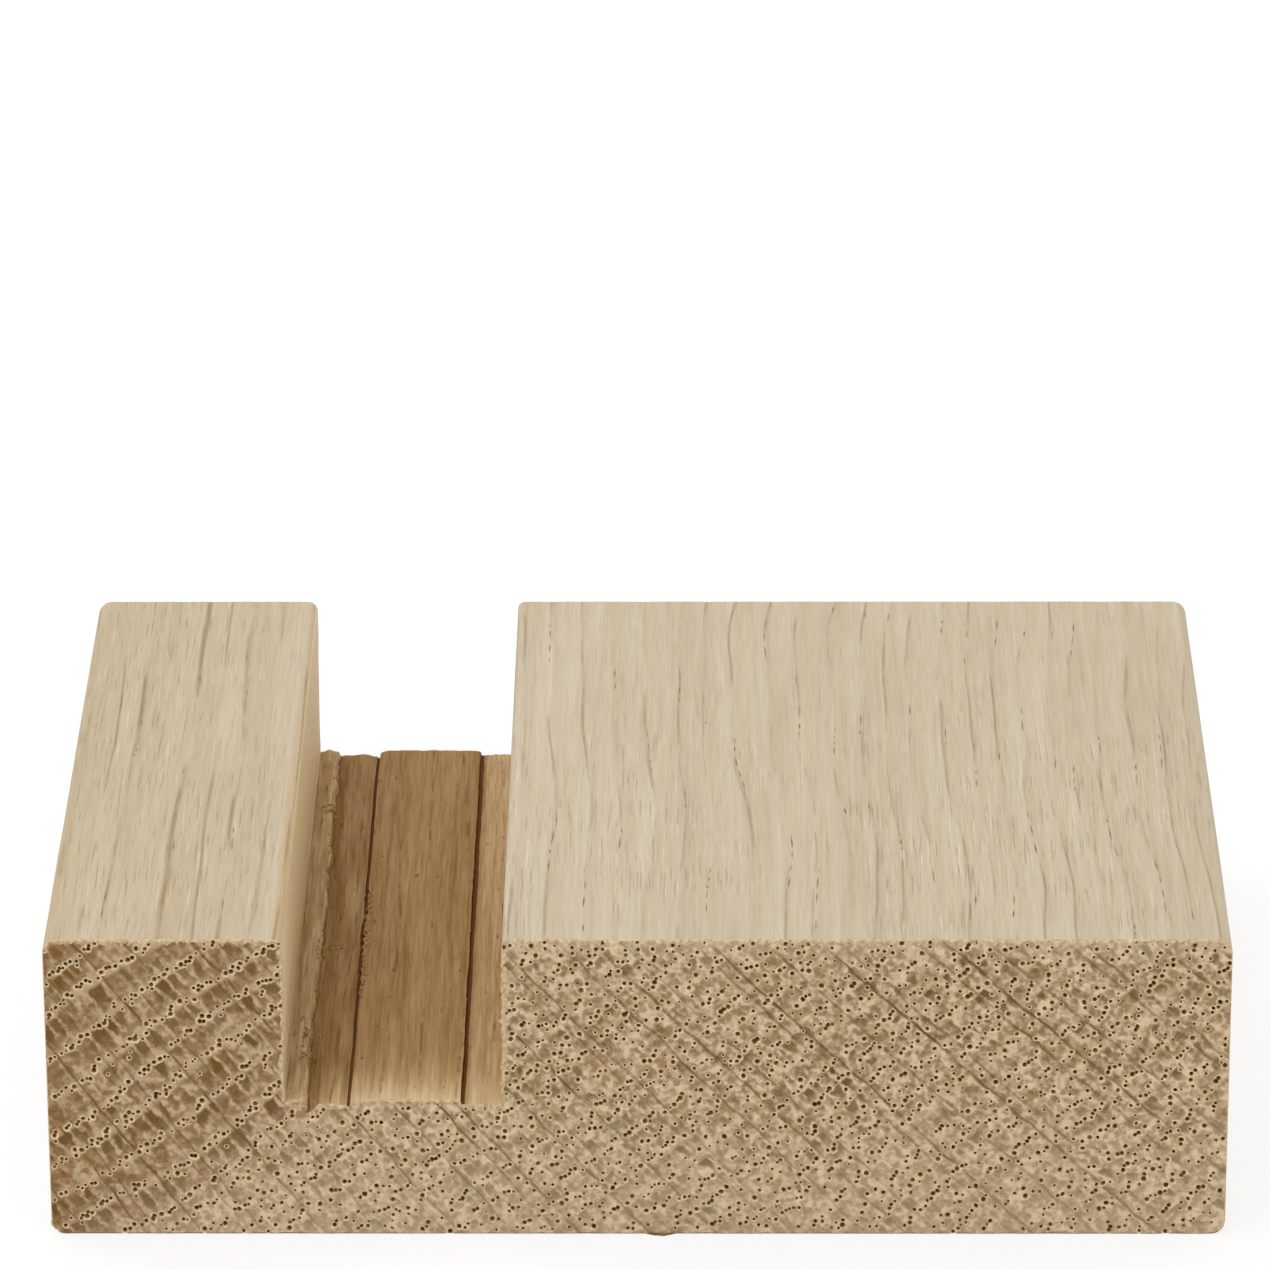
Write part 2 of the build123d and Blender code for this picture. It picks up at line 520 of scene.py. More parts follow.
def slot_path(y):
    """From the top of the narrow post, down into the slot and up to the wide post: (x, z, ix, iz, tone)."""
    left_top, right_top = top - LEFT_MOUTH_ARRIS, top - RIGHT_MOUTH_ARRIS
    left_mouth = arc(slot_left - LEFT_MOUTH_ARRIS, left_top, LEFT_MOUTH_ARRIS, 1, 0, MOUTH_STEPS)
    right_mouth = arc(slot_right + RIGHT_MOUTH_ARRIS, right_top, RIGHT_MOUTH_ARRIS, 2, 1, MOUTH_STEPS)
    floor_path = [(slot_left + d, slot_floor + z, 0.0, -1.0, tone) for d, z, tone in floor_columns(y)]
    left_foot, right_foot = floor_path[0][1], floor_path[-1][1]

    # The first steps of the left mouth are planed, and there the tone is how much the planed wood is warmed
    warmth = MOUTH_WARMTH * (1 - MOUTH_COOLING * run_along(y)) * (1 + 0.5 * wobble(0.8, 17, y))
    tones = [warmth] * PLANED_MOUTH_STEPS
    tones += [MOUTH_TONE + MOUTH_BACK_TONE * run_along(y)] * (MOUTH_STEPS - PLANED_MOUTH_STEPS)
    path = [(*place, tone) for place, tone in zip(left_mouth, [*tones, WALL_TOP_LIT_TONE])]
    path += wall_path(slot_left, left_top, left_foot, -1.0, y, LEFT_WALL_BEND, LEFT_WALL_SEED)
    path += floor_path
    path += reversed(wall_path(slot_right, right_top, right_foot, 1.0, y, RIGHT_WALL_BEND, RIGHT_WALL_SEED))
    return path + [(*place, 0.0) for place in right_mouth]


print("points across the slot:", len(slot_path(0)))

# %% The outer arrises
OUTER_ARRIS = 0.8
ARRIS_STEPS = 8


def outer_path(y):
    """The rest of the section: over the wide post's far side, underneath and up the narrow post's side."""
    path = []
    for i, (x, z) in enumerate(((right, top), (right, bottom), (left, bottom), (left, top))):
        radius = OUTER_ARRIS * (1 + 0.12 * wobble(0.12, 60 + 7 * i, y))
        centre_x = x + math.copysign(radius, -x)
        centre_z = z + (radius if z == bottom else -radius)
        path += [(*place, 0.0) for place in arc(centre_x, centre_z, radius, 1 - i, -i, ARRIS_STEPS)]
    return path


print("points on the whole section:", len(slot_path(0)) + len(outer_path(0)))

# %% [markdown]
# ## Sawn edges
# A saw leaves no sharp edge on an end: fibres tear out and fold over it. So each end is not a plain
# polygon with the section's outline. Between the section and the end face lie two narrow rows of faces
# whose width and lip follow noise, wide and pale at the top and in the slot, and narrow underneath. Hair
# could be scattered over the edges instead, but folded fibres are part of the wood, so one mesh holds both.

# %% Sawn edge
NEAR_EDGE = 0.5
PLAIN_REACH, PLAIN_LIP = 0.06, 0.01
BACK_REACH = 0.12
TORN_REACH, LEAST_REACH, MOST_REACH = 0.2, 0.05, 0.6
TORN_LIP = 0.02
FLOOR_REACH_SHARE, LEAST_FLOOR_REACH, FLOOR_LIP = 0.8, 0.08, 0.04
BURR_FROM, BURR_TO, BURR_LIP = 0.4, 2.1, 0.3
TOP_STAND_OFF, WALL_STAND_OFF, WALL_FUZZ = 0.14, 0.28, 0.09


def sawn_edge(x, y, z):
    """Torn fibres in mm: how far they reach over the end, stand out of it, and stand off the face behind."""
    along = x + z
    if z < bottom + NEAR_EDGE:
        burr = BURR_LIP * math.sin(math.pi * (x - BURR_FROM) / (BURR_TO - BURR_FROM))
        has_burr = y < 0 and BURR_FROM < x < BURR_TO
        lip = burr * (1 + 0.3 * wobble(4, x, 1)) if has_burr else PLAIN_LIP
        return PLAIN_REACH + 0.05 * wobble(0.9, along, y), lip, 0
    if x in (left, right):
        return PLAIN_REACH + 0.04 * wobble(1.1, along, y), PLAIN_LIP, 0
    if y > 0 and z > top - NEAR_EDGE:
        return BACK_REACH + 0.05 * wobble(0.8, along, y), PLAIN_LIP, 0
    reach = TORN_REACH + 0.2 * wobble(0.8, along, y) + 0.34 * wobble(3.3, along, y)
    if slot_left < x < slot_right and z < slot_floor + NEAR_EDGE:
        return max(LEAST_FLOOR_REACH, FLOOR_REACH_SHARE * reach), FLOOR_LIP, 0
    on_wall = abs(x - slot_right) < RIGHT_MOUTH_ARRIS and z < top - RIGHT_MOUTH_ARRIS
    stand_off, fuzz = (WALL_STAND_OFF, WALL_FUZZ) if on_wall else (TOP_STAND_OFF, 0)
    off = fuzz + stand_off * max(0, wobble(2.9, along, y + 9)) if y < 0 else 0
    lip = TORN_LIP + 0.08 * max(0, wobble(2.3, along, y + 5))
    return max(LEAST_REACH, min(reach, MOST_REACH)), lip, off


halfway_up = (slot_floor + top) / 2
wall_fibres = [round(size, 3) for size in sawn_edge(slot_right, front, halfway_up)]
print("reach, lip and stand-off on the slot's right wall:", wall_fibres)

# %% [markdown]
# ## One closed mesh
# The section is repeated at stations along the grain, and faces join each to the next. An Extrude would
# do for a plain section, but this one changes from station to station. Each face stores its finish, its
# tone and whether it is flat, so the materials and the shading can be told apart later.

# %% Points and faces
END_GRAIN, PLANED, MILLED, TORN, LOWER_EDGE_SHADOW = range(5)
EDGE_STEP_MM = 0.16
FOLD_SHARE = 0.3
# Up to this height in mm above the foot, the sawn edge's rows are painted dark as a contact shadow
SHADOW_LINE_MM = 0.15


class Mesh:
    """Points, faces and what each face is, gathered until the mesh is made."""

    def __init__(self):
        self.points, self.faces, self.finishes, self.tones, self.flats = [], [], [], [], []
        self.between = {}

    def row(self, path, y):
        """Adds the points of a path at y. Gives their numbers back."""
        start = len(self.points)
        self.points.extend((place[0], y, place[1]) for place in path)
        return list(range(start, len(self.points)))

    def face(self, corners, finish, tone=0.0, flat=False):
        """Adds a face, with the points that lie between its corners where an edge has been split."""
        full = []
        for a, b in zip(corners, [*corners[1:], corners[0]]):
            full += [a, *self.between.get((a, b), ()), *reversed(self.between.get((b, a), ()))]
        self.faces.append(full)
        self.finishes.append(finish)
        self.tones.append(tone)
        self.flats.append(1.0 if flat else 0.0)

    def split(self, loop, ways):
        """Splits the edges of a loop into short steps. Gives all its points and their ways into the wood."""
        outline, directions = [], []
        for i, (a, way) in enumerate(zip(loop, ways)):
            b, next_way = loop[(i + 1) % len(loop)], ways[(i + 1) % len(loop)]
            start, stop = Vector(self.points[a]), Vector(self.points[b])
            pieces = max(1, round((stop - start).length / EDGE_STEP_MM))
            extra = [tuple(start.lerp(stop, k / pieces)) for k in range(1, pieces)]
            self.between[(a, b)] = range(len(self.points), len(self.points) + len(extra))
            self.points += extra
            outline += [a, *self.between[(a, b)]]
            directions += [Vector(way).lerp(Vector(next_way), k / pieces) for k in range(pieces)]
        return outline, directions

    def end(self, loop, ways, end_y):
        """Closes one end: folds two rows of torn fibres over its outline, and fills the rest."""
        outline, directions = self.split(loop, ways)
        rings = [outline, [], []]
        outwards = math.copysign(1, end_y)
        for number, way in zip(outline, directions):
            x, _, z = self.points[number]
            reach, lip, off = sawn_edge(x, end_y, z)
            for ring, inwards, out in ((rings[1], FOLD_SHARE * reach - off, lip), (rings[2], reach, 0.0)):
                ring.append(len(self.points))
                self.points.append((x + way.x * inwards, end_y + outwards * out, z + way.y * inwards))
        for outer, inner in zip(rings, rings[1:]):
            for i, number in enumerate(outline):
                j = (i + 1) % len(outline)
                corners = (inner[i], inner[j], outer[j], outer[i])
                # Rows near the foot get a dark finish: a painted contact shadow along the lower edge
                is_low = self.points[number][2] < bottom + SHADOW_LINE_MM
                self.face(corners[:: int(-outwards)], LOWER_EDGE_SHADOW if is_low else TORN)
        self.face(rings[2][:: int(outwards)], END_GRAIN, flat=True)


print("points in one row across the slot:", len(Mesh().row(slot_path(0), 0)))

# %% Carry the section along the grain
END_STEPS_MM = (0.14, 0.2, 0.4, 0.7)
STATION_GAP_MM = 0.36
STATIONS_PER_PANEL = 12

inner_length = back - front - 2 * END_STEPS_MM[-1]
inner_count = STATIONS_PER_PANEL * round(inner_length / STATION_GAP_MM / STATIONS_PER_PANEL) - 1
stations = [front + step for step in END_STEPS_MM]
stations += [stations[-1] + inner_length * (i + 1) / (inner_count + 1) for i in range(inner_count)]
stations += [back - step for step in reversed(END_STEPS_MM)]


def gather_faces():
    """The closed block without its vessels: the slot has every station, and the rest has long panels."""
    mesh = Mesh()
    slot_paths = [slot_path(y) for y in stations]
    slot_rows = [mesh.row(path, y) for path, y in zip(slot_paths, stations)]
    last = len(stations) - 1
    panel_stops = [0, *range(len(END_STEPS_MM) - 1, last, STATIONS_PER_PANEL), last]
    outer_paths = [outer_path(stations[stop]) for stop in panel_stops]
    outer_rows = [mesh.row(path, stations[stop]) for path, stop in zip(outer_paths, panel_stops)]
    for i, end_y in ((0, front), (-1, back)):
        ways = [place[2:4] for place in slot_paths[i] + outer_paths[i]]
        mesh.end(slot_rows[i] + outer_rows[i], ways, end_y)
    for path, near, far in zip(slot_paths, slot_rows, slot_rows[1:]):
        for i in range(len(near) - 1):
            on_mouth = i < PLANED_MOUTH_STEPS or i >= len(near) - 1 - MOUTH_STEPS
            finish = PLANED if on_mouth else MILLED
            mesh.face((near[i], near[i + 1], far[i + 1], far[i]), finish, path[i][4])
    for stop, next_stop, near, far in zip(panel_stops, panel_stops[1:], outer_rows, outer_rows[1:]):
        for i in range(len(near) - 1):
            between_arrises = i % (ARRIS_STEPS + 1) == ARRIS_STEPS
            mesh.face((near[i], near[i + 1], far[i + 1], far[i]), PLANED, flat=between_arrises)
        mouths = slot_rows[stop : next_stop + 1]
        mesh.face((near[0], far[0], *[row[-1] for row in reversed(mouths)]), PLANED, flat=True)
        mesh.face((far[-1], near[-1], *[row[0] for row in mouths]), PLANED, flat=True)
    return mesh


gathered = gather_faces()
stock = bpy.data.meshes.new("oak_holder")
stock.from_pydata([Vector(point) * MM for point in gathered.points], [], gathered.faces)
stock.polygons.foreach_set("material_index", gathered.finishes)
for name, values in (("tone", gathered.tones), ("flat", gathered.flats)):
    stock.attributes.new(name, "FLOAT", "FACE").data.foreach_set("value", values)
stock.update()
print("stations:", len(stations), "faces before the vessels:", len(stock.polygons))

# %% [markdown]
# ## Finishes
# Oak shows three finishes here: sawn on the ends, planed on the outer faces, and milled in the slot. Each
# could be painted by itself, but then a ring on the end would not meet its line on the top. Here all three
# read the place in the tree from the same nodes, so the figure runs round the edges.

# %% The rule of rings and rays, in nodes
def tree_nodes(tree):
    """Nodes for a point's place in the tree: ring count, mm along the ring, mm along the grain, radius."""
    point = add(tree, "ShaderNodeTexCoord").outputs["Object"]
    from_pith = add(tree, VECTORS, TIMES_PLUS, {0: point, 1: [1 / MM] * 3, 2: (-PITH_X, 0, -PITH_Z)})
    across = add(tree, VECTORS, TIMES, {0: from_pith, 1: (1, 0, 1)})
    radius = add(tree, VECTORS, {"operation": "LENGTH"}, {0: across})
    parts = add(tree, "ShaderNodeSeparateXYZ", {}, {0: from_pith}).outputs
    straight = {"Value": parts["X"], "From Min": STRAIGHT_TO_MM, "From Max": WAVY_FROM_MM}
    straight = add(tree, REMAP, {}, straight | {"To Min": STRAIGHT_SHARE, "To Max": 1.0})
    for waves, share in ((RING_WAVES, 1.0), (GRAIN_WAVES, straight)):
        for way, size in waves:
            wave = add(tree, VECTORS, {"operation": "DOT_PRODUCT"}, {0: from_pith, 1: way})
            wave = add(tree, MATH, SINE, {0: wave})
            wave = add(tree, MATH, TIMES, {0: wave, 1: share})
            radius = add(tree, MATH, TIMES_PLUS, {0: wave, 1: size, 2: radius})
    wide = add(tree, MATH, {"operation": "MINIMUM"}, {0: radius, 1: WIDE_RINGS_END_MM})
    wide = add(tree, MATH, OVER, {0: wide, 1: WIDE_RING_MM})
    narrow = add(tree, MATH, MINUS, {0: radius, 1: WIDE_RINGS_END_MM})
    narrow = add(tree, MATH, MOST, {0: narrow, 1: 0.0})
    rings = add(tree, MATH, TIMES_PLUS, {0: narrow, 1: 1 / NARROW_RING_MM, 2: wide})
    angle = add(tree, MATH, {"operation": "ARCTAN2"}, {0: parts["Z"], 1: parts["X"]})
    along = add(tree, MATH, TIMES, {0: angle, 1: MIDDLE_RADIUS_MM})
    return rings, along, parts["Y"], radius


def ray_nodes(tree, along):
    """Nodes for the broad rays: mm to the nearest one, with its sign, and that ray's number."""
    steps = add(tree, MATH, OVER, {0: along, 1: RAY_GAP_MM})
    nearest = add(tree, MATH, ROUND, {0: steps})
    shift = add(tree, MATH, TIMES, {0: nearest, 1: RAY_STRIDE})
    shift = add(tree, MATH, SINE, {0: shift})
    place = add(tree, MATH, TIMES_PLUS, {0: shift, 1: RAY_SHIFT, 2: nearest})
    offset = add(tree, MATH, MINUS, {0: steps, 1: place})
    return add(tree, MATH, TIMES, {0: offset, 1: RAY_GAP_MM}), nearest


print("rings at the narrow post's top:", round(ring_count(nearest_mm), 1))

# %% Starting and closing a finish
SPECULAR = 0.08


def new_finish(name):
    """An empty material, its node tree and its point in the block."""
    material = bpy.data.materials.new(name)
    material.use_nodes = True
    tree = material.node_tree
    tree.nodes.clear()
    return material, tree, add(tree, "ShaderNodeTexCoord").outputs["Object"]


def close_finish(tree, colour, height, relief_mm, roughness):
    """Ends a finish: colour, roughness and fine relief go to one shader. Bare wood hardly shines."""
    bump = add(tree, "ShaderNodeBump", {}, {"Height": height, "Distance": relief_mm * MM})
    inputs = {"Base Color": colour, "Roughness": roughness, "Normal": bump, "Specular IOR Level": SPECULAR}
    surface = add(tree, "ShaderNodeBsdfPrincipled", {}, inputs)
    add(tree, "ShaderNodeOutputMaterial", {}, {"Surface": surface})


print("share of shine:", SPECULAR)

# %% [markdown]
# ## Sawn end grain
# A saw across the grain shows each ring as a row of open vessels and, behind it, late wood: dense, dark
# blocks with pale gaps between them. Rays, sheets of cells that run out from the pith, cross the rings as
# thin lines. A picture of end grain could be wrapped on, but it would not follow this block's own rings.
# Here a Voronoi pattern makes the blocks, one row of cells for each ring, and every ray has its own number,
# which sets its place and strength.

# %% Late wood
BLOCK_WIDE_MM, BLOCK_NARROW_MM = 0.85, 0.62
BLOCK_SWAY_MM = 0.4
BLOCK_LEAN, BLOCK_TAPER = 0.45, 0.1
ROW_STRIDE = 9.7
RAGGEDNESS, START_BLEND = 0.16, 0.09


def late_wood(tree, rings, along, coarse, clouds):
    """Late wood: dark blocks in a row behind each row of vessels, parted by pale gaps. Gives 0 to 1."""
    ring = add(tree, MATH, {"operation": "FLOOR"}, {0: rings})
    phase = add(tree, MATH, FRACTION, {0: rings})
    narrow = add(tree, MATH, ABOVE, {0: ring, 1: WIDE_RINGS_END_MM / WIDE_RING_MM - 1})

    # One cell of a Voronoi pattern for each block, a row of cells for each ring
    per_mm = {"Value": narrow, "To Min": 1 / BLOCK_WIDE_MM, "To Max": 1 / BLOCK_NARROW_MM}
    per_mm = add(tree, REMAP, {}, per_mm)
    bend = add(tree, MATH, TIMES_PLUS, {0: coarse, 1: BLOCK_SWAY_MM, 2: along})
    bend = add(tree, MATH, TIMES, {0: bend, 1: per_mm})
    lean = add(tree, MATH, TIMES, {0: phase, 1: BLOCK_LEAN})
    row = add(tree, MATH, TIMES_PLUS, {0: ring, 1: ROW_STRIDE, 2: lean})
    cell = add(tree, "ShaderNodeCombineXYZ", {}, {"X": bend, "Y": row})
    edges = {"voronoi_dimensions": "2D", "feature": "DISTANCE_TO_EDGE"}
    edge = add(tree, "ShaderNodeTexVoronoi", edges, {"Vector": cell, "Scale": 1.0}).outputs["Distance"]
    edge = add(tree, MATH, TIMES_PLUS, {0: phase, 1: -BLOCK_TAPER, 2: edge})
    block = add(tree, REMAP, SMOOTH, {"Value": edge, "From Min": 0.03, "From Max": 0.17})

    # Each block has its own strength, from the cell's random colour
    kind = add(tree, "ShaderNodeTexVoronoi", {"voronoi_dimensions": "2D"}, {"Vector": cell, "Scale": 1.0})
    kind = add(tree, "ShaderNodeSeparateColor", {}, {"Color": kind.outputs["Color"]}).outputs["Red"]
    least = add(tree, REMAP, {}, {"Value": narrow, "To Min": -0.8, "To Max": -0.3})
    kind = add(tree, REMAP, {}, {"Value": kind, "From Min": least, "From Max": 1.0})

    # Late wood starts behind the vessels and fades out towards the next row
    ragged = add(tree, MATH, TIMES_PLUS, {0: coarse, 1: RAGGEDNESS, 2: phase})
    start = add(tree, REMAP, {}, {"Value": narrow, "To Min": 0.19, "To Max": 0.27})
    started = add(tree, MATH, PLUS, {0: start, 1: START_BLEND})
    starts = add(tree, REMAP, SMOOTH, {"Value": ragged, "From Min": start, "From Max": started})
    fades = {"Value": ragged, "From Min": 0.55, "From Max": 1.1, "To Min": 1.0, "To Max": 0.15}
    fades = add(tree, REMAP, {}, fades)

    # In the narrow rings it comes and goes in clouds
    strong = {"Value": clouds, "From Min": 0.35, "From Max": 0.65, "To Min": 0.45, "To Max": 0.95}
    strong = add(tree, REMAP, {}, strong)
    wide_strong = add(tree, REMAP, {}, {"Value": narrow, "To Min": 1.0, "To Max": 0.0})
    strong = add(tree, MATH, MOST, {0: strong, 1: wide_strong})
    late = add(tree, MATH, TIMES, {0: starts, 1: fades})
    for factor in (block, kind, strong):
        late = add(tree, MATH, TIMES, {0: late, 1: factor})
    return late


print("late wood's blocks in mm:", BLOCK_WIDE_MM, "and", BLOCK_NARROW_MM)

# %% Rays
RAY_SWAY_MM = 0.22
RAY_CORE_MM, RAY_EDGE_MM, RAY_SHADE_MM = 0.03, 0.13, 0.38
RAY_RUN_MM = 2.0
RAY_SHADE = 0.38
RAY_NUMBER_STRIDE = 3.3


def ray_lines_and_shade(tree, along, radius, sway):
    """Rays: brown lines about 0.16 mm wide, each with its own strength, and a painted shade on one side.
    Gives 0 to 1.
    """
    sideways = add(tree, REMAP, {}, {"Value": sway, "To Min": -RAY_SWAY_MM, "To Max": RAY_SWAY_MM})
    sideways = add(tree, MATH, PLUS, {0: sideways, 1: along})
    offset, number = ray_nodes(tree, sideways)
    strength = add(tree, "ShaderNodeTexWhiteNoise", {"noise_dimensions": "1D"}, {"W": number})
    strength = {"Value": strength.outputs["Value"], "To Min": 0.65, "To Max": 1.3}
    strength = add(tree, REMAP, {}, strength)
    run = add(tree, MATH, OVER, {0: radius, 1: RAY_RUN_MM})
    own_run = add(tree, MATH, TIMES, {0: number, 1: RAY_NUMBER_STRIDE})
    run = add(tree, "ShaderNodeCombineXYZ", {}, {"X": run, "Y": own_run})
    run = add(tree, NOISE, FLAT, {"Vector": run, "Scale": 1.0, "Detail": 2.0})
    run = {"Value": run, "From Min": 0.35, "From Max": 0.65, "To Min": 0.4, "To Max": 0.8}
    run = add(tree, REMAP, {}, run)
    strength = add(tree, MATH, TIMES | {"use_clamp": True}, {0: strength, 1: run})
    gap = add(tree, MATH, {"operation": "ABSOLUTE"}, {0: offset})
    line = {"Value": gap, "From Min": RAY_CORE_MM, "From Max": RAY_EDGE_MM, "To Min": 1.0, "To Max": 0.0}
    line = add(tree, REMAP, SMOOTH, line)
    # On one side of each line, a painted shade as if the ray stood out of the end
    shade = {"Value": offset, "From Min": 0.0, "From Max": RAY_SHADE_MM, "To Min": RAY_SHADE, "To Max": 0.0}
    shade = add(tree, REMAP, {}, shade)
    one_side = add(tree, MATH, ABOVE, {0: offset, 1: 0.0})
    shade = add(tree, MATH, TIMES, {0: shade, 1: one_side})
    ray = add(tree, MATH, MOST, {0: line, 1: shade})
    return add(tree, MATH, TIMES, {0: ray, 1: strength})


print("rays in mm from each other:", RAY_GAP_MM)

# %% Oak end grain, sawn
PALE_TO_MM, PALE_SHARE = 10.0, 0.3
FRAY_MM, FRAY_SHARE = 1.4, 0.3
BROWN_MM, BROWN_SHARE = 2.5, 0.3
RINGS_BLEND_MM = 3
END_SWERVE = 0.14
HALF_RING = 0.5
END_RELIEF_MM, END_ROUGHNESS = 0.07, 0.85


def oak_end_grain():
    """Sawn oak end grain: matt, rough and pale, with dark late wood behind the vessels, and thin rays."""
    material, tree, point = new_finish("oak_end_grain_sawn")
    rings, along, _, radius = tree_nodes(tree)

    # Cut fibres at 0.14 and 0.3 mm, soft patches at 0.55 mm, sway over 1.6 mm, and clouds some 6 mm wide
    noises = [(0.14, 1.0), (0.3, 1.0), (0.55, 1.5), (1.6, 1.0), (6.0, 2.0)]
    noises = [{"Vector": point, "Scale": 1 / (width * MM), "Detail": detail} for width, detail in noises]
    fine, fibres, coarse, sway, clouds = [add(tree, NOISE, {}, inputs) for inputs in noises]
    mottle = add(tree, MATH, TIMES, {0: coarse, 1: 0.7})
    for grains, share in ((fine, 0.1), (fibres, 0.74)):
        mottle = add(tree, MATH, TIMES_PLUS, {0: grains, 1: share, 2: mottle})
    mottle = add(tree, REMAP, SMOOTH, {"Value": mottle, "From Min": 0.59, "From Max": 0.95})
    late = late_wood(tree, rings, along, coarse, clouds)
    # The rays come with their painted shade on one side
    ray = ray_lines_and_shade(tree, along, radius, sway)

    # Pale wood along each row of vessels, stronger in the wide rings, which are browner as a whole
    swerve = add(tree, MATH, TIMES_PLUS, {0: coarse, 1: END_SWERVE, 2: rings})
    swerve = add(tree, MATH, MINUS, {0: swerve, 1: END_SWERVE / 2})
    to_row = add(tree, MATH, ZIGZAG, {0: swerve, 1: HALF_RING})
    blend_from, blend_to = WIDE_RINGS_END_MM - RINGS_BLEND_MM, WIDE_RINGS_END_MM + RINGS_BLEND_MM
    outer = add(tree, REMAP, SMOOTH, {"Value": radius, "From Min": blend_from, "From Max": blend_to})
    strongest = add(tree, REMAP, {}, {"Value": outer, "To Min": 0.65, "To Max": 0.3})
    row = {"Value": to_row, "From Min": 0.04, "From Max": 0.18, "To Min": strongest, "To Max": 0.0}
    row = add(tree, REMAP, SMOOTH, row)
    inner = add(tree, REMAP, {}, {"Value": outer, "To Min": 0.32, "To Max": 0.0})
    tint = add(tree, REMAP, {}, {"Value": sway, "From Min": 0.3, "From Max": 0.7, "To Max": 0.22})

    # The left edge is browned, and the foot and the top edge of the narrow rings are pale
    place = add(tree, "ShaderNodeSeparateXYZ", {}, {0: point}).outputs
    fades = [("X", left, left + BROWN_MM, BROWN_SHARE)]
    fades += [("Z", bottom, bottom + PALE_TO_MM, PALE_SHARE), ("Z", top, top - FRAY_MM, FRAY_SHARE)]
    edges = []
    for axis, strongest_at, gone_at, share in fades:
        fade = {"Value": place[axis], "From Min": strongest_at * MM, "From Max": gone_at * MM}
        edges.append(add(tree, REMAP, {}, fade | {"To Min": share, "To Max": 0.0}))
    brown, *pales = edges
    pales = [(add(tree, MATH, TIMES, {0: pale, 1: outer}), "#e6d2b0") for pale in pales]

    wood = add(tree, BLEND, RGBA, {"Factor": mottle, "A": linear("#9c8059"), "B": linear("#dec8a6")})
    layers = [(tint, "#bd9775"), (row, "#dec6a0"), (late, "#63491f"), (ray, "#6e4f2b")]
    for share, colour in (*layers, (inner, "#8a6233"), (brown, "#7d5020"), *pales):
        wood = add(tree, BLEND, RGBA, {"Factor": share, "A": wood, "B": linear(colour)})
    sunk = add(tree, MATH, PLUS, {0: late, 1: ray})
    height = add(tree, MATH, TIMES_PLUS, {0: sunk, 1: -0.5, 2: mottle})
    height = add(tree, MATH, PLUS, {0: height, 1: row})
    close_finish(tree, wood, height, END_RELIEF_MM, END_ROUGHNESS)
    return material


end_grain = oak_end_grain()
print(end_grain.name, "has", len(end_grain.node_tree.nodes), "nodes")

# %% [markdown]
# ## Planed long grain
# A plane along the grain opens the same vessels lengthwise, so each ring is a thin, broken brown line on
# pale wood. A Wave texture could draw such lines, but they would not meet the rings on the ends. So the
# lines come from the ring count, and noise drawn out along the grain adds fibres, streaks and dashes.

# %% Lines along the grain
ROW_SWERVE = 0.08
ROW_NUMBER_STRIDE = 5.37


def row_lines(tree, rings, grain, wavy, width, length):
    """Lines where a face cuts the rows of vessels: their width in rings, and broken over a length in mm."""
    swerve = add(tree, MATH, TIMES_PLUS, {0: wavy, 1: ROW_SWERVE, 2: rings})
    nearest = add(tree, MATH, ROUND, {0: swerve})
    to_row = add(tree, MATH, ZIGZAG, {0: swerve, 1: HALF_RING})
    line = add(tree, REMAP, SMOOTH, {"Value": to_row, "From Max": width, "To Min": 1.0, "To Max": 0.0})
    number = add(tree, MATH, TIMES, {0: nearest, 1: ROW_NUMBER_STRIDE})
    run = add(tree, MATH, OVER, {0: grain, 1: length})
    run = add(tree, "ShaderNodeCombineXYZ", {}, {"X": run, "Y": number})
    run = add(tree, NOISE, FLAT, {"Vector": run, "Scale": 1.0, "Detail": 3.0, "Roughness": 0.6})
    run = add(tree, REMAP, SMOOTH, {"Value": run, "From Min": 0.42, "From Max": 0.66})
    return add(tree, MATH, TIMES, {0: line, 1: run})


def grain_noises(tree, point, scales, detail):
    """Noise drawn out along the grain, by how often it changes per mm across the grain and along it."""
    maps = [(across / MM, lengthwise / MM, across / MM) for across, lengthwise in scales]
    maps = [add(tree, "ShaderNodeMapping", {}, {"Vector": point, "Scale": scale}) for scale in maps]
    noises = [{"Vector": place, "Scale": 1.0, "Detail": detail, "Roughness": 0.6} for place in maps]
    return [add(tree, NOISE, {}, inputs) for inputs in noises]


print("lines swerve by up to", ROW_SWERVE, "of a ring")

# %% Oak long grain, planed
LINE_WIDTH, LINE_LENGTH_MM = 0.07, 14.0
MORE_WIDTH, MORE_LENGTH_MM = 0.1, 24.0
INNER_FROM_MM, INNER_TO_MM = WIDE_RINGS_END_MM - 14, WIDE_RINGS_END_MM - 6
WORN_FROM_MM, WORN_TO_MM, WORN_SHARE = -8, 16, 0.4
PLANED_RELIEF_MM, PLANED_ROUGHNESS = 0.04, 0.6


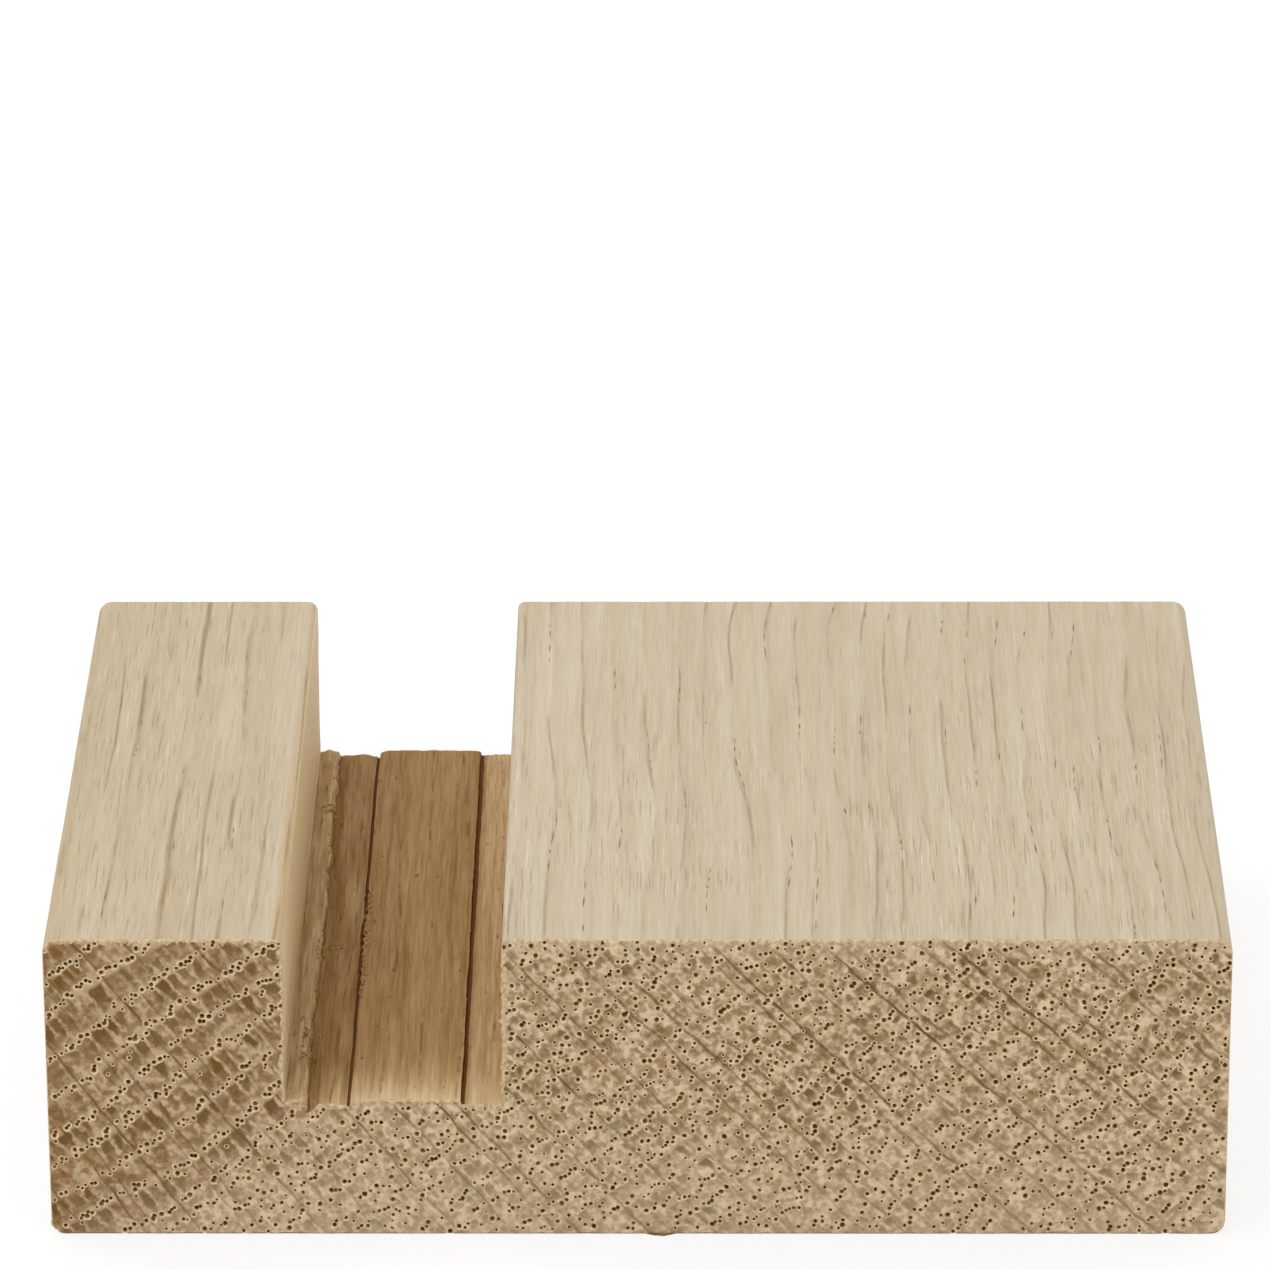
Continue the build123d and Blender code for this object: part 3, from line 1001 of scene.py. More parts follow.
def oak_planed():
    """Planed oak along the grain: pale and matt, with fine streaks and a thin brown line at each ring."""
    material, tree, point = new_finish("oak_long_grain_planed")
    rings, _, grain, radius = tree_nodes(tree)

    # Streaks: fibres 0.1 mm wide and 4 mm long, soft ones 0.4 mm wide, bands 4 mm wide. Then dashes 0.1 mm
    # wide, dark where a vessel is cut and pale where its wall is torn, and patches in which they are thick
    scales = ((9, 0.28), (2.5, 0.06), (0.25, 0.02), (8, 0.22), (7, 0.2), (0.2, 0.08))
    fine, soft, broad, dark_dash, pale_dash, patch = grain_noises(tree, point, scales, 2.0)
    streak = add(tree, MATH, TIMES, {0: fine, 1: 0.6})
    for stripes, share in ((soft, 0.6), (broad, 0.5)):
        streak = add(tree, MATH, TIMES_PLUS, {0: stripes, 1: share, 2: streak})
    streak = add(tree, REMAP, {}, {"Value": streak, "From Min": 0.45, "From Max": 1.25})

    # A line at each ring, and on the inner rings another between two of them
    inner = {"Value": radius, "From Min": INNER_FROM_MM, "From Max": INNER_TO_MM}
    inner = add(tree, REMAP, SMOOTH, inner | {"To Min": 1.0, "To Max": 0.0})
    line = row_lines(tree, rings, grain, soft, LINE_WIDTH, LINE_LENGTH_MM)
    half_rings = add(tree, MATH, TIMES, {0: rings, 1: 2.0})
    more = row_lines(tree, half_rings, grain, soft, MORE_WIDTH, MORE_LENGTH_MM)
    more = add(tree, MATH, TIMES, {0: more, 1: inner})
    line = add(tree, MATH, MOST, {0: line, 1: more})
    phase = add(tree, MATH, FRACTION, {0: rings})
    band = add(tree, REMAP, {}, {"Value": phase, "From Max": 0.6, "To Min": 0.2, "To Max": 0.0})
    wood = add(tree, BLEND, RGBA, {"Factor": streak, "A": linear("#b4a387"), "B": linear("#d9ccb6")})
    wood = add(tree, BLEND, RGBA, {"Factor": band, "A": wood, "B": linear("#b59a6c")})

    # Dashes, thick in patches, fewer towards the back, and more on the inner rings
    patch = {"Value": patch, "From Min": 0.38, "From Max": 0.62, "To Min": 0.1, "To Max": 0.5}
    patch = add(tree, REMAP, SMOOTH, patch)
    worn = {"Value": grain, "From Min": WORN_FROM_MM, "From Max": WORN_TO_MM}
    worn = add(tree, REMAP, {}, worn | {"To Min": 1, "To Max": WORN_SHARE})
    patch = add(tree, MATH, TIMES, {0: patch, 1: worn})
    rough = add(tree, MATH, TIMES, {0: inner, 1: 0.45})
    patch = add(tree, MATH, MOST, {0: patch, 1: rough})
    for dash, colour in ((pale_dash, "#e6d9be"), (dark_dash, "#9b8762")):
        dash = add(tree, REMAP, SMOOTH, {"Value": dash, "From Min": 0.58, "From Max": 0.7})
        dash = add(tree, MATH, TIMES, {0: dash, 1: patch})
        wood = add(tree, BLEND, RGBA, {"Factor": dash, "A": wood, "B": linear(colour)})
    relief = add(tree, MATH, MINUS, {0: streak, 1: dash})

    # A tint on the inner rings, warmth on the left mouth by its tone, and the lines over all
    tint = add(tree, MATH, TIMES, {0: inner, 1: 0.18})
    warm = add(tree, "ShaderNodeAttribute", {"attribute_name": "tone"}).outputs["Fac"]
    faint = add(tree, REMAP, {}, {"Value": inner, "To Min": 0.48, "To Max": 0.72})
    faint = add(tree, MATH, TIMES, {0: line, 1: faint})
    for share, colour in ((tint, "#b0935f"), (warm, "#c8a672"), (faint, "#8c713f")):
        wood = add(tree, BLEND, RGBA, {"Factor": share, "A": wood, "B": linear(colour)})
    relief = add(tree, MATH, TIMES_PLUS, {0: line, 1: -1.0, 2: relief})
    close_finish(tree, wood, relief, PLANED_RELIEF_MM, PLANED_ROUGHNESS)
    return material


planed = oak_planed()
print(planed.name, "has", len(planed.node_tree.nodes), "nodes")

# %% [markdown]
# ## Milled slot
# The cutter rubbed the wood as it turned. It burnished the slot's floor brown and scorched the scored lines.
# The walls are painted pale near the top, a painted light against the slot's shade, and the gap at the
# ridge's foot, the right scored line and the strip beside it are darkened as painted shade. Each pass could
# have a material of its own, but the walls change from pale to brown without a step. So one material reads
# the tone that each face stored, adds streaks along the grain to it, and turns the sum into a colour.

# %% Oak long grain, milled in the slot
STREAK_TONE = 0.36
PORE_WIDTH, PORE_LENGTH_MM = 0.06, 2.5
MILLED_RELIEF_MM, MILLED_ROUGHNESS = 0.06, 0.6


def oak_milled():
    """Milled oak: a cutter has burnished the slot browner, each pass in its own tone, with dark streaks."""
    material, tree, point = new_finish("oak_long_grain_milled")
    rings, _, grain, _ = tree_nodes(tree)
    fine, broad, speck = grain_noises(tree, point, ((7, 0.3), (1.6, 0.04), (2.4, 0.8)), 2.5)
    streak = add(tree, MATH, TIMES, {0: fine, 1: 0.85})
    streak = add(tree, MATH, TIMES_PLUS, {0: broad, 1: 0.8, 2: streak})
    streak = {"Value": streak, "From Min": 0.575, "From Max": 1.075}
    streak = add(tree, REMAP, {"clamp": False}, streak | {"To Min": -STREAK_TONE, "To Max": STREAK_TONE})
    tone = add(tree, "ShaderNodeAttribute", {"attribute_name": "tone"}).outputs["Fac"]
    tone = add(tree, MATH, PLUS, {0: tone, 1: streak})

    # Lines of vessels, and pits about 0.25 mm wide where a vessel was torn open, fainter on the pale walls
    line = row_lines(tree, rings, grain, fine, PORE_WIDTH, PORE_LENGTH_MM)
    pit = add(tree, REMAP, SMOOTH, {"Value": speck, "From Min": 0.67, "From Max": 0.73})
    opened = add(tree, MATH, MOST, {0: line, 1: pit})
    on_floor = {"Value": tone, "From Min": 0.9, "From Max": 1.4, "To Min": 0.6, "To Max": 0.25}
    on_floor = add(tree, REMAP, {}, on_floor)
    opened = add(tree, MATH, TIMES, {0: opened, 1: on_floor})

    # From brown to tan, then paler above a tone of 0.9, which on the walls' tops is painted light, and below
    # 0 scorched or darkened as painted shade
    pale = add(tree, REMAP, {}, {"Value": tone, "From Min": 0.9, "From Max": 2.0})
    dark = {"Value": tone, "From Min": -0.9, "From Max": 0.0, "To Min": 0.9, "To Max": 0.0}
    dark = add(tree, REMAP, {}, dark)
    wood = add(tree, BLEND, RGBA, {"Factor": tone, "A": linear("#846030"), "B": linear("#b8986d")})
    for share, colour in ((pale, "#e2cda6"), (dark, "#623300"), (opened, "#704a20")):
        wood = add(tree, BLEND, RGBA, {"Factor": share, "A": wood, "B": linear(colour)})
    height = add(tree, MATH, TIMES_PLUS, {0: opened, 1: -1.2, 2: fine})
    close_finish(tree, wood, height, MILLED_RELIEF_MM, MILLED_ROUGHNESS)
    return material


milled = oak_milled()
print(milled.name, "has", len(milled.node_tree.nodes), "nodes")

# %% [markdown]
# ## Small finishes
# Torn fibres, the painted shadow along the lower edge, crumbs, and the insides and rims of the vessels are
# each a little lighter or darker than the wood around them. They are too small to show rings. One plain
# colour for each would do, but from close up it would look like plastic, so one function makes them all
# from two colours in spots of a real width.

# %% Torn fibres and open vessels
SPECKLE_RELIEF_MM = 0.05


def speckled(name, dark, pale, width_mm, roughness):
    """A finish between two colours in spots of a given width."""
    material, tree, point = new_finish(name)
    spots = add(tree, NOISE, {}, {"Vector": point, "Scale": 1 / (width_mm * MM), "Detail": 2.0})
    share = add(tree, REMAP, {}, {"Value": spots, "From Min": 0.3, "From Max": 0.7})
    colour = add(tree, BLEND, RGBA, {"Factor": share, "A": linear(dark), "B": linear(pale)})
    close_finish(tree, colour, spots, SPECKLE_RELIEF_MM, roughness)
    return material


# Torn fibres on the sawn edges: pale fuzz. Lower edge: a thin dark line of painted contact shadow.
torn = speckled("oak_torn_fibres", "#b3976c", "#dfcba8", 0.25, 0.9)
lower_edge_shadow_paint = speckled("oak_lower_edge", "#6b4a30", "#a5825c", 0.6, 0.8)

# Hollow: dark brown, since little light comes back out of it. Rim: cells that the saw crushed pale.
hollow = speckled("oak_vessel_hollow", "#664526", "#a17c52", 0.5, 0.9)
pale_rim = speckled("oak_vessel_rim", "#b3966c", "#e8d2ac", 0.3, 0.85)

# Crumbs: lumps of torn fibre in the slot, browned by the cutter. Trough: a vessel planed open lengthwise.
crumbled = speckled("oak_crumbs", "#7a5527", "#c9a878", 0.12, 0.9)
planed_open = speckled("oak_vessel_trough", "#8f7c50", "#c2ae84", 1.5, 0.8)

# In the order of END_GRAIN, PLANED, MILLED, TORN and LOWER_EDGE_SHADOW
for finish in (end_grain, planed, milled, torn, lower_edge_shadow_paint):
    stock.materials.append(finish)
print("finishes:", [finish.name for finish in stock.materials])

# %% [markdown]
# ## Open vessels
# Oak's large vessels stand in rows where each ring starts, and the saw cuts them open: about 2,450 small
# holes on each end. The plane opens others lengthwise, as short troughs in a line. Dark dots in the
# material would do from far away, but these are real, so they keep their shadow from any side. Geometry
# Nodes copies one small cutter to every place and takes them all from the block in one cut. Which of the
# cut faces are hollow and which are rim is stored on the cutter.

# %% Room for a vessel on an end
LEAST_SPACING_MM = 0.19
RAY_CLEARANCE_MM = 0.12
EDGE_CLEARANCE_MM = 0.13


def on_end(x, z):
    """True if a place lies on the end face, clear of its outline."""
    inside_x = left + EDGE_CLEARANCE_MM < x < right - EDGE_CLEARANCE_MM
    inside_z = bottom + EDGE_CLEARANCE_MM < z < top - EDGE_CLEARANCE_MM
    over_slot = slot_left - EDGE_CLEARANCE_MM < x < slot_right + EDGE_CLEARANCE_MM
    in_slot = over_slot and z > slot_floor - LEFT_DROP - EDGE_CLEARANCE_MM
    return inside_x and inside_z and not in_slot


def take_place(x, y, z, taken):
    """Takes a place on the end at y, if it is on the wood and clear of the rays and of the taken places."""
    cell = round(x / LEAST_SPACING_MM), round(z / LEAST_SPACING_MM)
    around = [(cell[0] + i, cell[1] + j) for i in (-1, 0, 1) for j in (-1, 0, 1)]
    near = [taken[place] for place in around if place in taken]
    spaced = all(math.dist((x, z), other) > LEAST_SPACING_MM for other in near)
    clear_of_ray = ray_distance(tree_place(x, y, z)[1]) > RAY_CLEARANCE_MM
    is_free = on_end(x, z) and clear_of_ray and spaced
    if is_free:
        taken[cell] = x, z
    return is_free


print("the slot's middle is on the end:", on_end((slot_left + slot_right) / 2, top - 1))

# %% Where the vessels open on the ends
ALONG_FROM_MM, ALONG_TO_MM = -197.0, -131.0
STRING_VESSELS = (3, 9)
STRING_GAP_MM = (0.04, 0.3)
STRING_DRIFT_MM = 0.1
WIDE_ROW_STEP_MM, NARROW_ROW_STEP_MM = 0.17, 0.24
STEP_SPREAD = (0.75, 1.25)
WIDE_ROW_SCATTER_MM, NARROW_ROW_SCATTER_MM = 0.1, 0.15
WIDE_STRAY_SHARE, NARROW_STRAY_SHARE = 0.07, 0.24
STRAY_MM = (0.2, 0.7)
LARGE_SHARE = 0.65
LARGE_HALF_MM, LARGE_DEPTH_MM = (0.1, 0.15), (0.22, 0.4)
SMALL_HALF_MM, SMALL_DEPTH_MM = (0.08, 0.115), (0.14, 0.24)
OVAL_SPREAD = (0.85, 1.15)
FRONT_SEED, BACK_SEED = 11, 12


def vessel_mouths(y, seed):
    """The vessels that open on the end at y, large ones and small ones: lists of (x, z, size) in mm."""
    chance = random.Random(seed)
    corner_radii = [tree_place(x, y, z)[0] for x in (left, right) for z in (bottom, top)]
    first, last = ring_count(min(corner_radii)), ring_count(max(corner_radii))
    large, small, taken = [], [], {}
    for ring in range(math.floor(first), math.ceil(last) + 1):
        radius = ring_radius(ring)
        wide = radius < WIDE_RINGS_END_MM
        step = WIDE_ROW_STEP_MM if wide else NARROW_ROW_STEP_MM
        scatter = WIDE_ROW_SCATTER_MM if wide else NARROW_ROW_SCATTER_MM
        stray_share = WIDE_STRAY_SHARE if wide else NARROW_STRAY_SHARE
        along = ALONG_FROM_MM + chance.uniform(0, 1)
        while along < ALONG_TO_MM:
            drift = chance.gauss(0, STRING_DRIFT_MM)
            for _ in range(chance.randint(*STRING_VESSELS)):
                along += step * chance.uniform(*STEP_SPREAD)
                stray = chance.uniform(*STRAY_MM) if chance.random() < stray_share else 0
                x, z = block_place(radius + drift + stray + chance.gauss(0, scatter), along, y)
                is_large = chance.random() < LARGE_SHARE and not stray
                half = chance.uniform(*(LARGE_HALF_MM if is_large else SMALL_HALF_MM))
                depth = chance.uniform(*(LARGE_DEPTH_MM if is_large else SMALL_DEPTH_MM))
                size = half * chance.uniform(*OVAL_SPREAD), half * chance.uniform(*OVAL_SPREAD), depth
                if take_place(x, y, z, taken):
                    (large if is_large else small).append((x, z, size))
            along += chance.uniform(*STRING_GAP_MM)
    return large, small


ends = [(front, 1, vessel_mouths(front, FRONT_SEED)), (back, -1, vessel_mouths(back, BACK_SEED))]
print("large and small vessels on each end:", [[len(kind) for kind in kinds] for _, _, kinds in ends])

# %% Where a ring meets a face
HALVINGS = 20


def count_on_face(u, y, way, level):
    """The ring count on a face at y. u is x or z in mm, whichever way says, and level is the other one."""
    return ring_count(tree_place(u, y, level)[0] if way == "x" else tree_place(level, y, u)[0])


def row_on_face(ring, y, way, level, from_u, to_u):
    """Where a ring's row meets a face at y: x or z in mm, or None if it misses the face."""
    low_u, high_u = (from_u, to_u) if way == "x" else (to_u, from_u)
    if not count_on_face(low_u, y, way, level) < ring < count_on_face(high_u, y, way, level):
        return None
    for _ in range(HALVINGS):
        middle = (low_u + high_u) / 2
        if count_on_face(middle, y, way, level) < ring:
            low_u = middle
        else:
            high_u = middle
    return middle


print("rings at the top's two edges:", [round(count_on_face(u, 0, "x", top), 1) for u in (left, right)])

# %% Where the vessels open along the faces
TROUGH_LENGTH_MM = (0.5, 2.2)
TROUGH_HALF_MM, TROUGH_DEPTH_MM = (0.04, 0.07), (0.03, 0.06)
TROUGH_GAP_MM = (0.1, 0.5)
TROUGHS_IN_LINE = (1, 5)
LINE_GAP_MM = (4.0, 22.0)
LINE_OFFSET_MM = 0.12
FACE_CLEARANCE_MM, END_CLEARANCE_MM = 0.5, 0.6
BACK_THINNING = 0.5

# Each face's way across the grain, its level, where it starts and ends, and how a cutter leans on it
faces_of_wood = [
    ("x", top, left + OUTER_ARRIS, slot_left - LEFT_MOUTH_ARRIS, (0, 0)),
    ("x", top, slot_right + RIGHT_MOUTH_ARRIS, right - OUTER_ARRIS, (0, 0)),
    ("x", bottom, left + OUTER_ARRIS, right - OUTER_ARRIS, (math.pi, 0)),
    ("z", left, bottom + OUTER_ARRIS, top - OUTER_ARRIS, (0, -math.pi / 2)),
    ("z", right, bottom + OUTER_ARRIS, top - OUTER_ARRIS, (0, math.pi / 2)),
]


def face_troughs(way, level, from_u, to_u, lean, seed):
    """The vessels planed open on one face: place, turn, and size as half width, half length and depth."""
    chance = random.Random(seed)
    from_u, to_u = from_u + FACE_CLEARANCE_MM, to_u - FACE_CLEARANCE_MM
    counts = [count_on_face(u, (front + back) / 2, way, level) for u in (from_u, to_u)]
    troughs = []
    for ring in range(math.floor(min(counts)), math.ceil(max(counts)) + 1):
        y = front - chance.uniform(0, LINE_GAP_MM[1])
        while y < back:
            y += chance.uniform(*LINE_GAP_MM)
            offset = chance.gauss(0, LINE_OFFSET_MM)
            for _ in range(chance.randint(*TROUGHS_IN_LINE)):
                half = chance.uniform(*TROUGH_LENGTH_MM) / 2
                y += half
                u, next_u = (row_on_face(ring, place, way, level, from_u, to_u) for place in (y, y + half))
                kept = chance.random() > BACK_THINNING * run_along(y)
                inside = front + half + END_CLEARANCE_MM < y < back - half - END_CLEARANCE_MM
                if kept and inside and None not in (u, next_u):
                    slope = math.atan2(next_u - u, half)
                    place = (u + offset, y, level) if way == "x" else (level, y, u + offset)
                    turn = (lean[0], lean[1], -slope if way == "x" else slope)
                    size = (chance.uniform(*TROUGH_HALF_MM), half, chance.uniform(*TROUGH_DEPTH_MM))
                    troughs.append((place, turn, size))
                y += half + chance.uniform(*TROUGH_GAP_MM)
    return troughs


troughs = sum((face_troughs(*face, seed) for seed, face in enumerate(faces_of_wood)), [])
print("vessels open along the faces:", len(troughs))

# %% [markdown]
# ## Crumbs and tufts
# The cutter tore the wood beside its scored lines and along the ridge, and crumbs of fibre still hang
# there. The saw left tufts of fibre on the front edges. A rough texture would look painted on from close
# up. Each crumb and tuft is a small lump, joined to the block by the same kind of tree that cuts the vessels.

# %% Where the crumbs hang
CRUMB_SEED = 21

# Each field's two y, its two distances from the left wall, its number of crumbs, and their half sizes
CRUMB_FIELDS = (
    (-10.5, 3.5, 3.58, 3.95, 64, (0.06, 0.17)),
    (-19.5, -14.0, 0.6, 1.2, 26, (0.07, 0.15)),
    (-13.0, 21.0, 0.95, 1.3, 30, (0.05, 0.11)),
    (14.2, 15.6, 0.6, 1.4, 9, (0.1, 0.2)),
    (-3.8, -3.2, 1.2, 2.6, 12, (0.06, 0.12)),
    (-14.0, 8.0, 9.56, 9.68, 16, (0.03, 0.07)),
)


def floor_height(d, y):
    """Height in mm of the slot's floor, d mm from the left wall."""
    columns = floor_columns(y)
    after = next(i for i, column in enumerate(columns) if column[0] > d)
    (d0, height0, _), (d1, height1, _) = columns[after - 1], columns[after]
    return height0 + (height1 - height0) * (d - d0) / (d1 - d0)


def crumb_lumps(seed):
    """The crumbs in the slot: place, turn and three half sizes in mm."""
    chance = random.Random(seed)
    lumps = []
    for from_y, to_y, from_d, to_d, count, halves in CRUMB_FIELDS:
        for _ in range(count):
            d, y = chance.uniform(from_d, to_d), chance.uniform(from_y, to_y)
            place = slot_left + d, y, slot_floor + floor_height(d, y)
            turn = [chance.uniform(0, math.pi) for _ in range(3)]
            lumps.append((place, turn, [chance.uniform(*halves) for _ in range(3)]))
    return lumps


crumbs = crumb_lumps(CRUMB_SEED)
print("crumbs:", len(crumbs))

# %% Where the tufts hang
TUFT_SEED = 22
TUFTS_PER_MM = 1.8
TUFT_REACH_MM, TUFT_HALF_MM = (0.04, 0.32), (0.05, 0.15)
TUFT_SETBACK_MM = 0.02
CORNER_CLEARANCE_MM = 0.7


def tuft_lumps(seed):
    """Tufts on the front edges of the top, the slot's right wall and its floor: place, turn, half sizes."""
    chance = random.Random(seed)
    slot_corner = slot_right, slot_floor
    edges = [((left, top), (slot_left, top)), ((slot_right, top), (right, top))]
    edges += [(slot_corner, (slot_right, top)), ((slot_left, slot_floor), slot_corner)]
    lumps = []
    for start, stop in edges:
        length = math.dist(start, stop)
        for _ in range(round(length * TUFTS_PER_MM)):
            share = chance.uniform(CORNER_CLEARANCE_MM, length - CORNER_CLEARANCE_MM) / length
            x, z = (a + (b - a) * share for a, b in zip(start, stop))
            into = chance.uniform(*TUFT_REACH_MM)
            if stop[1] > start[1]:
                x += into
            elif z == top:
                z -= into
            else:
                z += floor_height(x - slot_left, front) - into
            turn = [chance.uniform(0, math.pi) for _ in range(3)]
            sizes = [chance.uniform(*TUFT_HALF_MM) for _ in range(3)]
            lumps.append(((x, front + TUFT_SETBACK_MM, z), turn, sizes))
    return lumps


tufts = tuft_lumps(TUFT_SEED)
print("tufts:", len(tufts))

# %% [markdown]
# ## One cut for thousands of holes
# On the real block the saw opened every vessel in one pass. A Boolean modifier for each hole would take
# thousands of steps. Instead, a Geometry Nodes tree takes one cutter, copies it to every point of a list,
# and cuts all the copies from the block together. With a lump in place of the cutter, the same kind of tree
# joins the crumbs and tufts to the block.

# %% Run a tree on a mesh
def new_tree(name, sizes):
    """A Geometry Nodes tree with a mesh going in and out, and a named input for each size."""
    tree = bpy.data.node_groups.new(name, "GeometryNodeTree")
    tree.interface.new_socket("Geometry", in_out="OUTPUT", socket_type="NodeSocketGeometry")
    tree.interface.new_socket("Geometry", in_out="INPUT", socket_type="NodeSocketGeometry")
    for size, kind in sizes.items():
        tree.interface.new_socket(size, in_out="INPUT", socket_type="NodeSocket" + kind)
    return tree, tree.nodes.new("NodeGroupInput").outputs


def run_tree(mesh, tree, values):
    """Runs a tree on a mesh with the given inputs. Gives the result back as a plain mesh."""
    worker = bpy.data.objects.new(tree.name, mesh)
    scene.collection.objects.link(worker)
    modifier = worker.modifiers.new(tree.name, "NODES")
    modifier.node_group = tree
    for item in tree.interface.items_tree:
        if item.in_out == "INPUT" and item.name in values:
            modifier[item.identifier] = values[item.name]
    evaluated = worker.evaluated_get(bpy.context.evaluated_depsgraph_get())
    result = bpy.data.meshes.new_from_object(evaluated)
    bpy.data.objects.remove(worker)
    return result


def point_object(name, places, turns, sizes):
    """An object of loose points in mm, each with a turn and a size for the copy that goes there."""
    mesh = bpy.data.meshes.new(name)
    mesh.from_pydata([Vector(place) * MM for place in places], [], [])
    for key, vectors, unit in (("turn", turns, 1), ("size", sizes, MM)):
        attribute = mesh.attributes.new(key, "FLOAT_VECTOR", "POINT")
        attribute.data.foreach_set("vector", [part * unit for vector in vectors for part in vector])
    points = bpy.data.objects.new(name, mesh)
    scene.collection.objects.link(points)
    return points


print("mesh before the vessels:", len(stock.vertices), "points")

# %% Cutters and lumps
CUTTER_TOP = 0.15
NECK_DEPTH, RIM_DEPTH = 0.12, 0.2


def funnel(tree, given):
    """A cutter one unit deep, which ends in a point below and widens near its mouth into a rim."""
    depth = 1 + CUTTER_TOP
    cone = {"Vertices": given["Sides"], "Side Segments": 2, "Depth": depth}
    cone |= {"Radius Top": given["Rim"], "Radius Bottom": 0.0}
    cutter = add(tree, "GeometryNodeMeshCone", {}, cone).outputs["Mesh"]
    place = add(tree, "GeometryNodeInputPosition")
    height = add(tree, "ShaderNodeSeparateXYZ", {}, {0: place}).outputs["Z"]
    compare = {"data_type": "FLOAT", "operation": "EQUAL"}
    middle = add(tree, "FunctionNodeCompare", compare, {"A": height, "B": depth / 2, "Epsilon": depth / 4})
    flat = add(tree, VECTORS, TIMES, {0: place, 1: (1, 1, 0)})
    neck = add(tree, VECTORS, {"operation": "NORMALIZE"}, {0: flat})
    neck = add(tree, VECTORS, TIMES_PLUS, {0: neck, 1: (1, 1, 0), 2: (0, 0, 1 - NECK_DEPTH)})
    moved = {"Geometry": cutter, "Selection": middle, "Position": neck}
    cutter = add(tree, "GeometryNodeSetPosition", {}, moved)
    cutter = add(tree, "GeometryNodeSetPosition", {}, {"Geometry": cutter, "Offset": (0, 0, -1)})
    on_rim = add(tree, "FunctionNodeCompare", {"data_type": "FLOAT"} | ABOVE, {"A": height, "B": -RIM_DEPTH})
    return cutter, on_rim


def spindle(tree, _):
    """A cutter for a short trough: an octahedron, drawn out along the grain by its size. It has no rim."""
    ball = {"Segments": 4, "Rings": 2, "Radius": 1.0}
    return add(tree, "GeometryNodeMeshUVSphere", {}, ball).outputs["Mesh"], 0.0


def lump(tree, _):
    """A crumb or tuft: a ball of twenty flat faces, made uneven by its size and turn. It has no rim."""
    ball = {"Radius": 1.0, "Subdivisions": 1}
    return add(tree, "GeometryNodeMeshIcoSphere", {}, ball).outputs["Mesh"], 0.0


print("cutters and lumps:", [shape.__name__ for shape in (funnel, spindle, lump)])

# %% A tree that cuts or joins
SCRAP_POINTS = 1000


def cut_tree(name, make_cutter, operation):
    """A tree that copies a shape to each point, and cuts the copies from the block or joins them to it."""
    kinds = {"Places": "Object", "Sides": "Int", "Rim": "Float", "Hollow": "Material", "Pale rim": "Material"}
    tree, given = new_tree(name, kinds)
    cutter, on_rim = make_cutter(tree, given)
    on_face = {"data_type": "FLOAT", "domain": "FACE"}
    for key, value in (("cut", 1.0), ("rim", on_rim)):
        stored = {"Geometry": cutter, "Name": name + key, "Value": value}
        cutter = add(tree, "GeometryNodeStoreNamedAttribute", on_face, stored)
    places = add(tree, "GeometryNodeObjectInfo", {}, {"Object": given["Places"]}).outputs["Geometry"]
    named, vector = "GeometryNodeInputNamedAttribute", {"data_type": "FLOAT_VECTOR"}
    turn, size = [add(tree, named, vector, {"Name": key}) for key in ("turn", "size")]
    copies = {"Points": places, "Instance": cutter, "Rotation": turn, "Scale": size}
    copies = add(tree, "GeometryNodeInstanceOnPoints", {}, copies)
    cut = {"operation": operation, "solver": "MANIFOLD"}
    block = add(tree, "GeometryNodeMeshBoolean", cut, {"Mesh 2": copies})
    tree.links.new(given["Geometry"], block.inputs["Mesh 1" if operation == "DIFFERENCE" else "Mesh 2"])

    # Scraps that a cut leaves loose are islands of a few points
    island = add(tree, "GeometryNodeInputMeshIsland").outputs["Island Index"]
    count = {"data_type": "INT", "domain": "POINT"}
    points = add(tree, "GeometryNodeAccumulateField", count, {"Value": 1, "Group ID": island})
    is_scrap = {"data_type": "INT", "operation": "LESS_THAN"}
    is_scrap = add(tree, "FunctionNodeCompare", is_scrap, {"A": points.outputs["Total"], "B": SCRAP_POINTS})
    scraps = {"Geometry": block.outputs["Mesh"], "Selection": is_scrap}
    block = add(tree, "GeometryNodeDeleteGeometry", {"domain": "POINT"}, scraps)
    block = add(tree, "GeometryNodeRealizeInstances", {}, {"Geometry": block})
    for key, finish in (("cut", "Hollow"), ("rim", "Pale rim")):
        chosen = add(tree, named, {"data_type": "FLOAT"}, {"Name": name + key})
        chosen = {"Geometry": block, "Selection": chosen, "Material": given[finish]}
        block = add(tree, "GeometryNodeSetMaterial", {}, chosen)
    add(tree, "NodeGroupOutput", {}, {"Geometry": block})
    return tree


def carve(block, name, make_cutter, cuts, values, operation):
    """Cuts a shape from the block at each (place, turn, size), or joins it there. Gives the new mesh."""
    points = point_object(name + "_places", *zip(*cuts))
    result = run_tree(block, cut_tree(name, make_cutter, operation), {"Places": points} | values)
    bpy.data.objects.remove(points)
    print(name, len(cuts), "triangles:", sum(len(face.vertices) - 2 for face in result.polygons))
    return result


print("a scrap has fewer points than", SCRAP_POINTS)

# %% Cut the vessels and join the crumbs
SPIN_SEED = 5
LARGE_VESSEL = {"Sides": 6, "Rim": 3.0}
SMALL_VESSEL = {"Sides": 5, "Rim": 2.5}

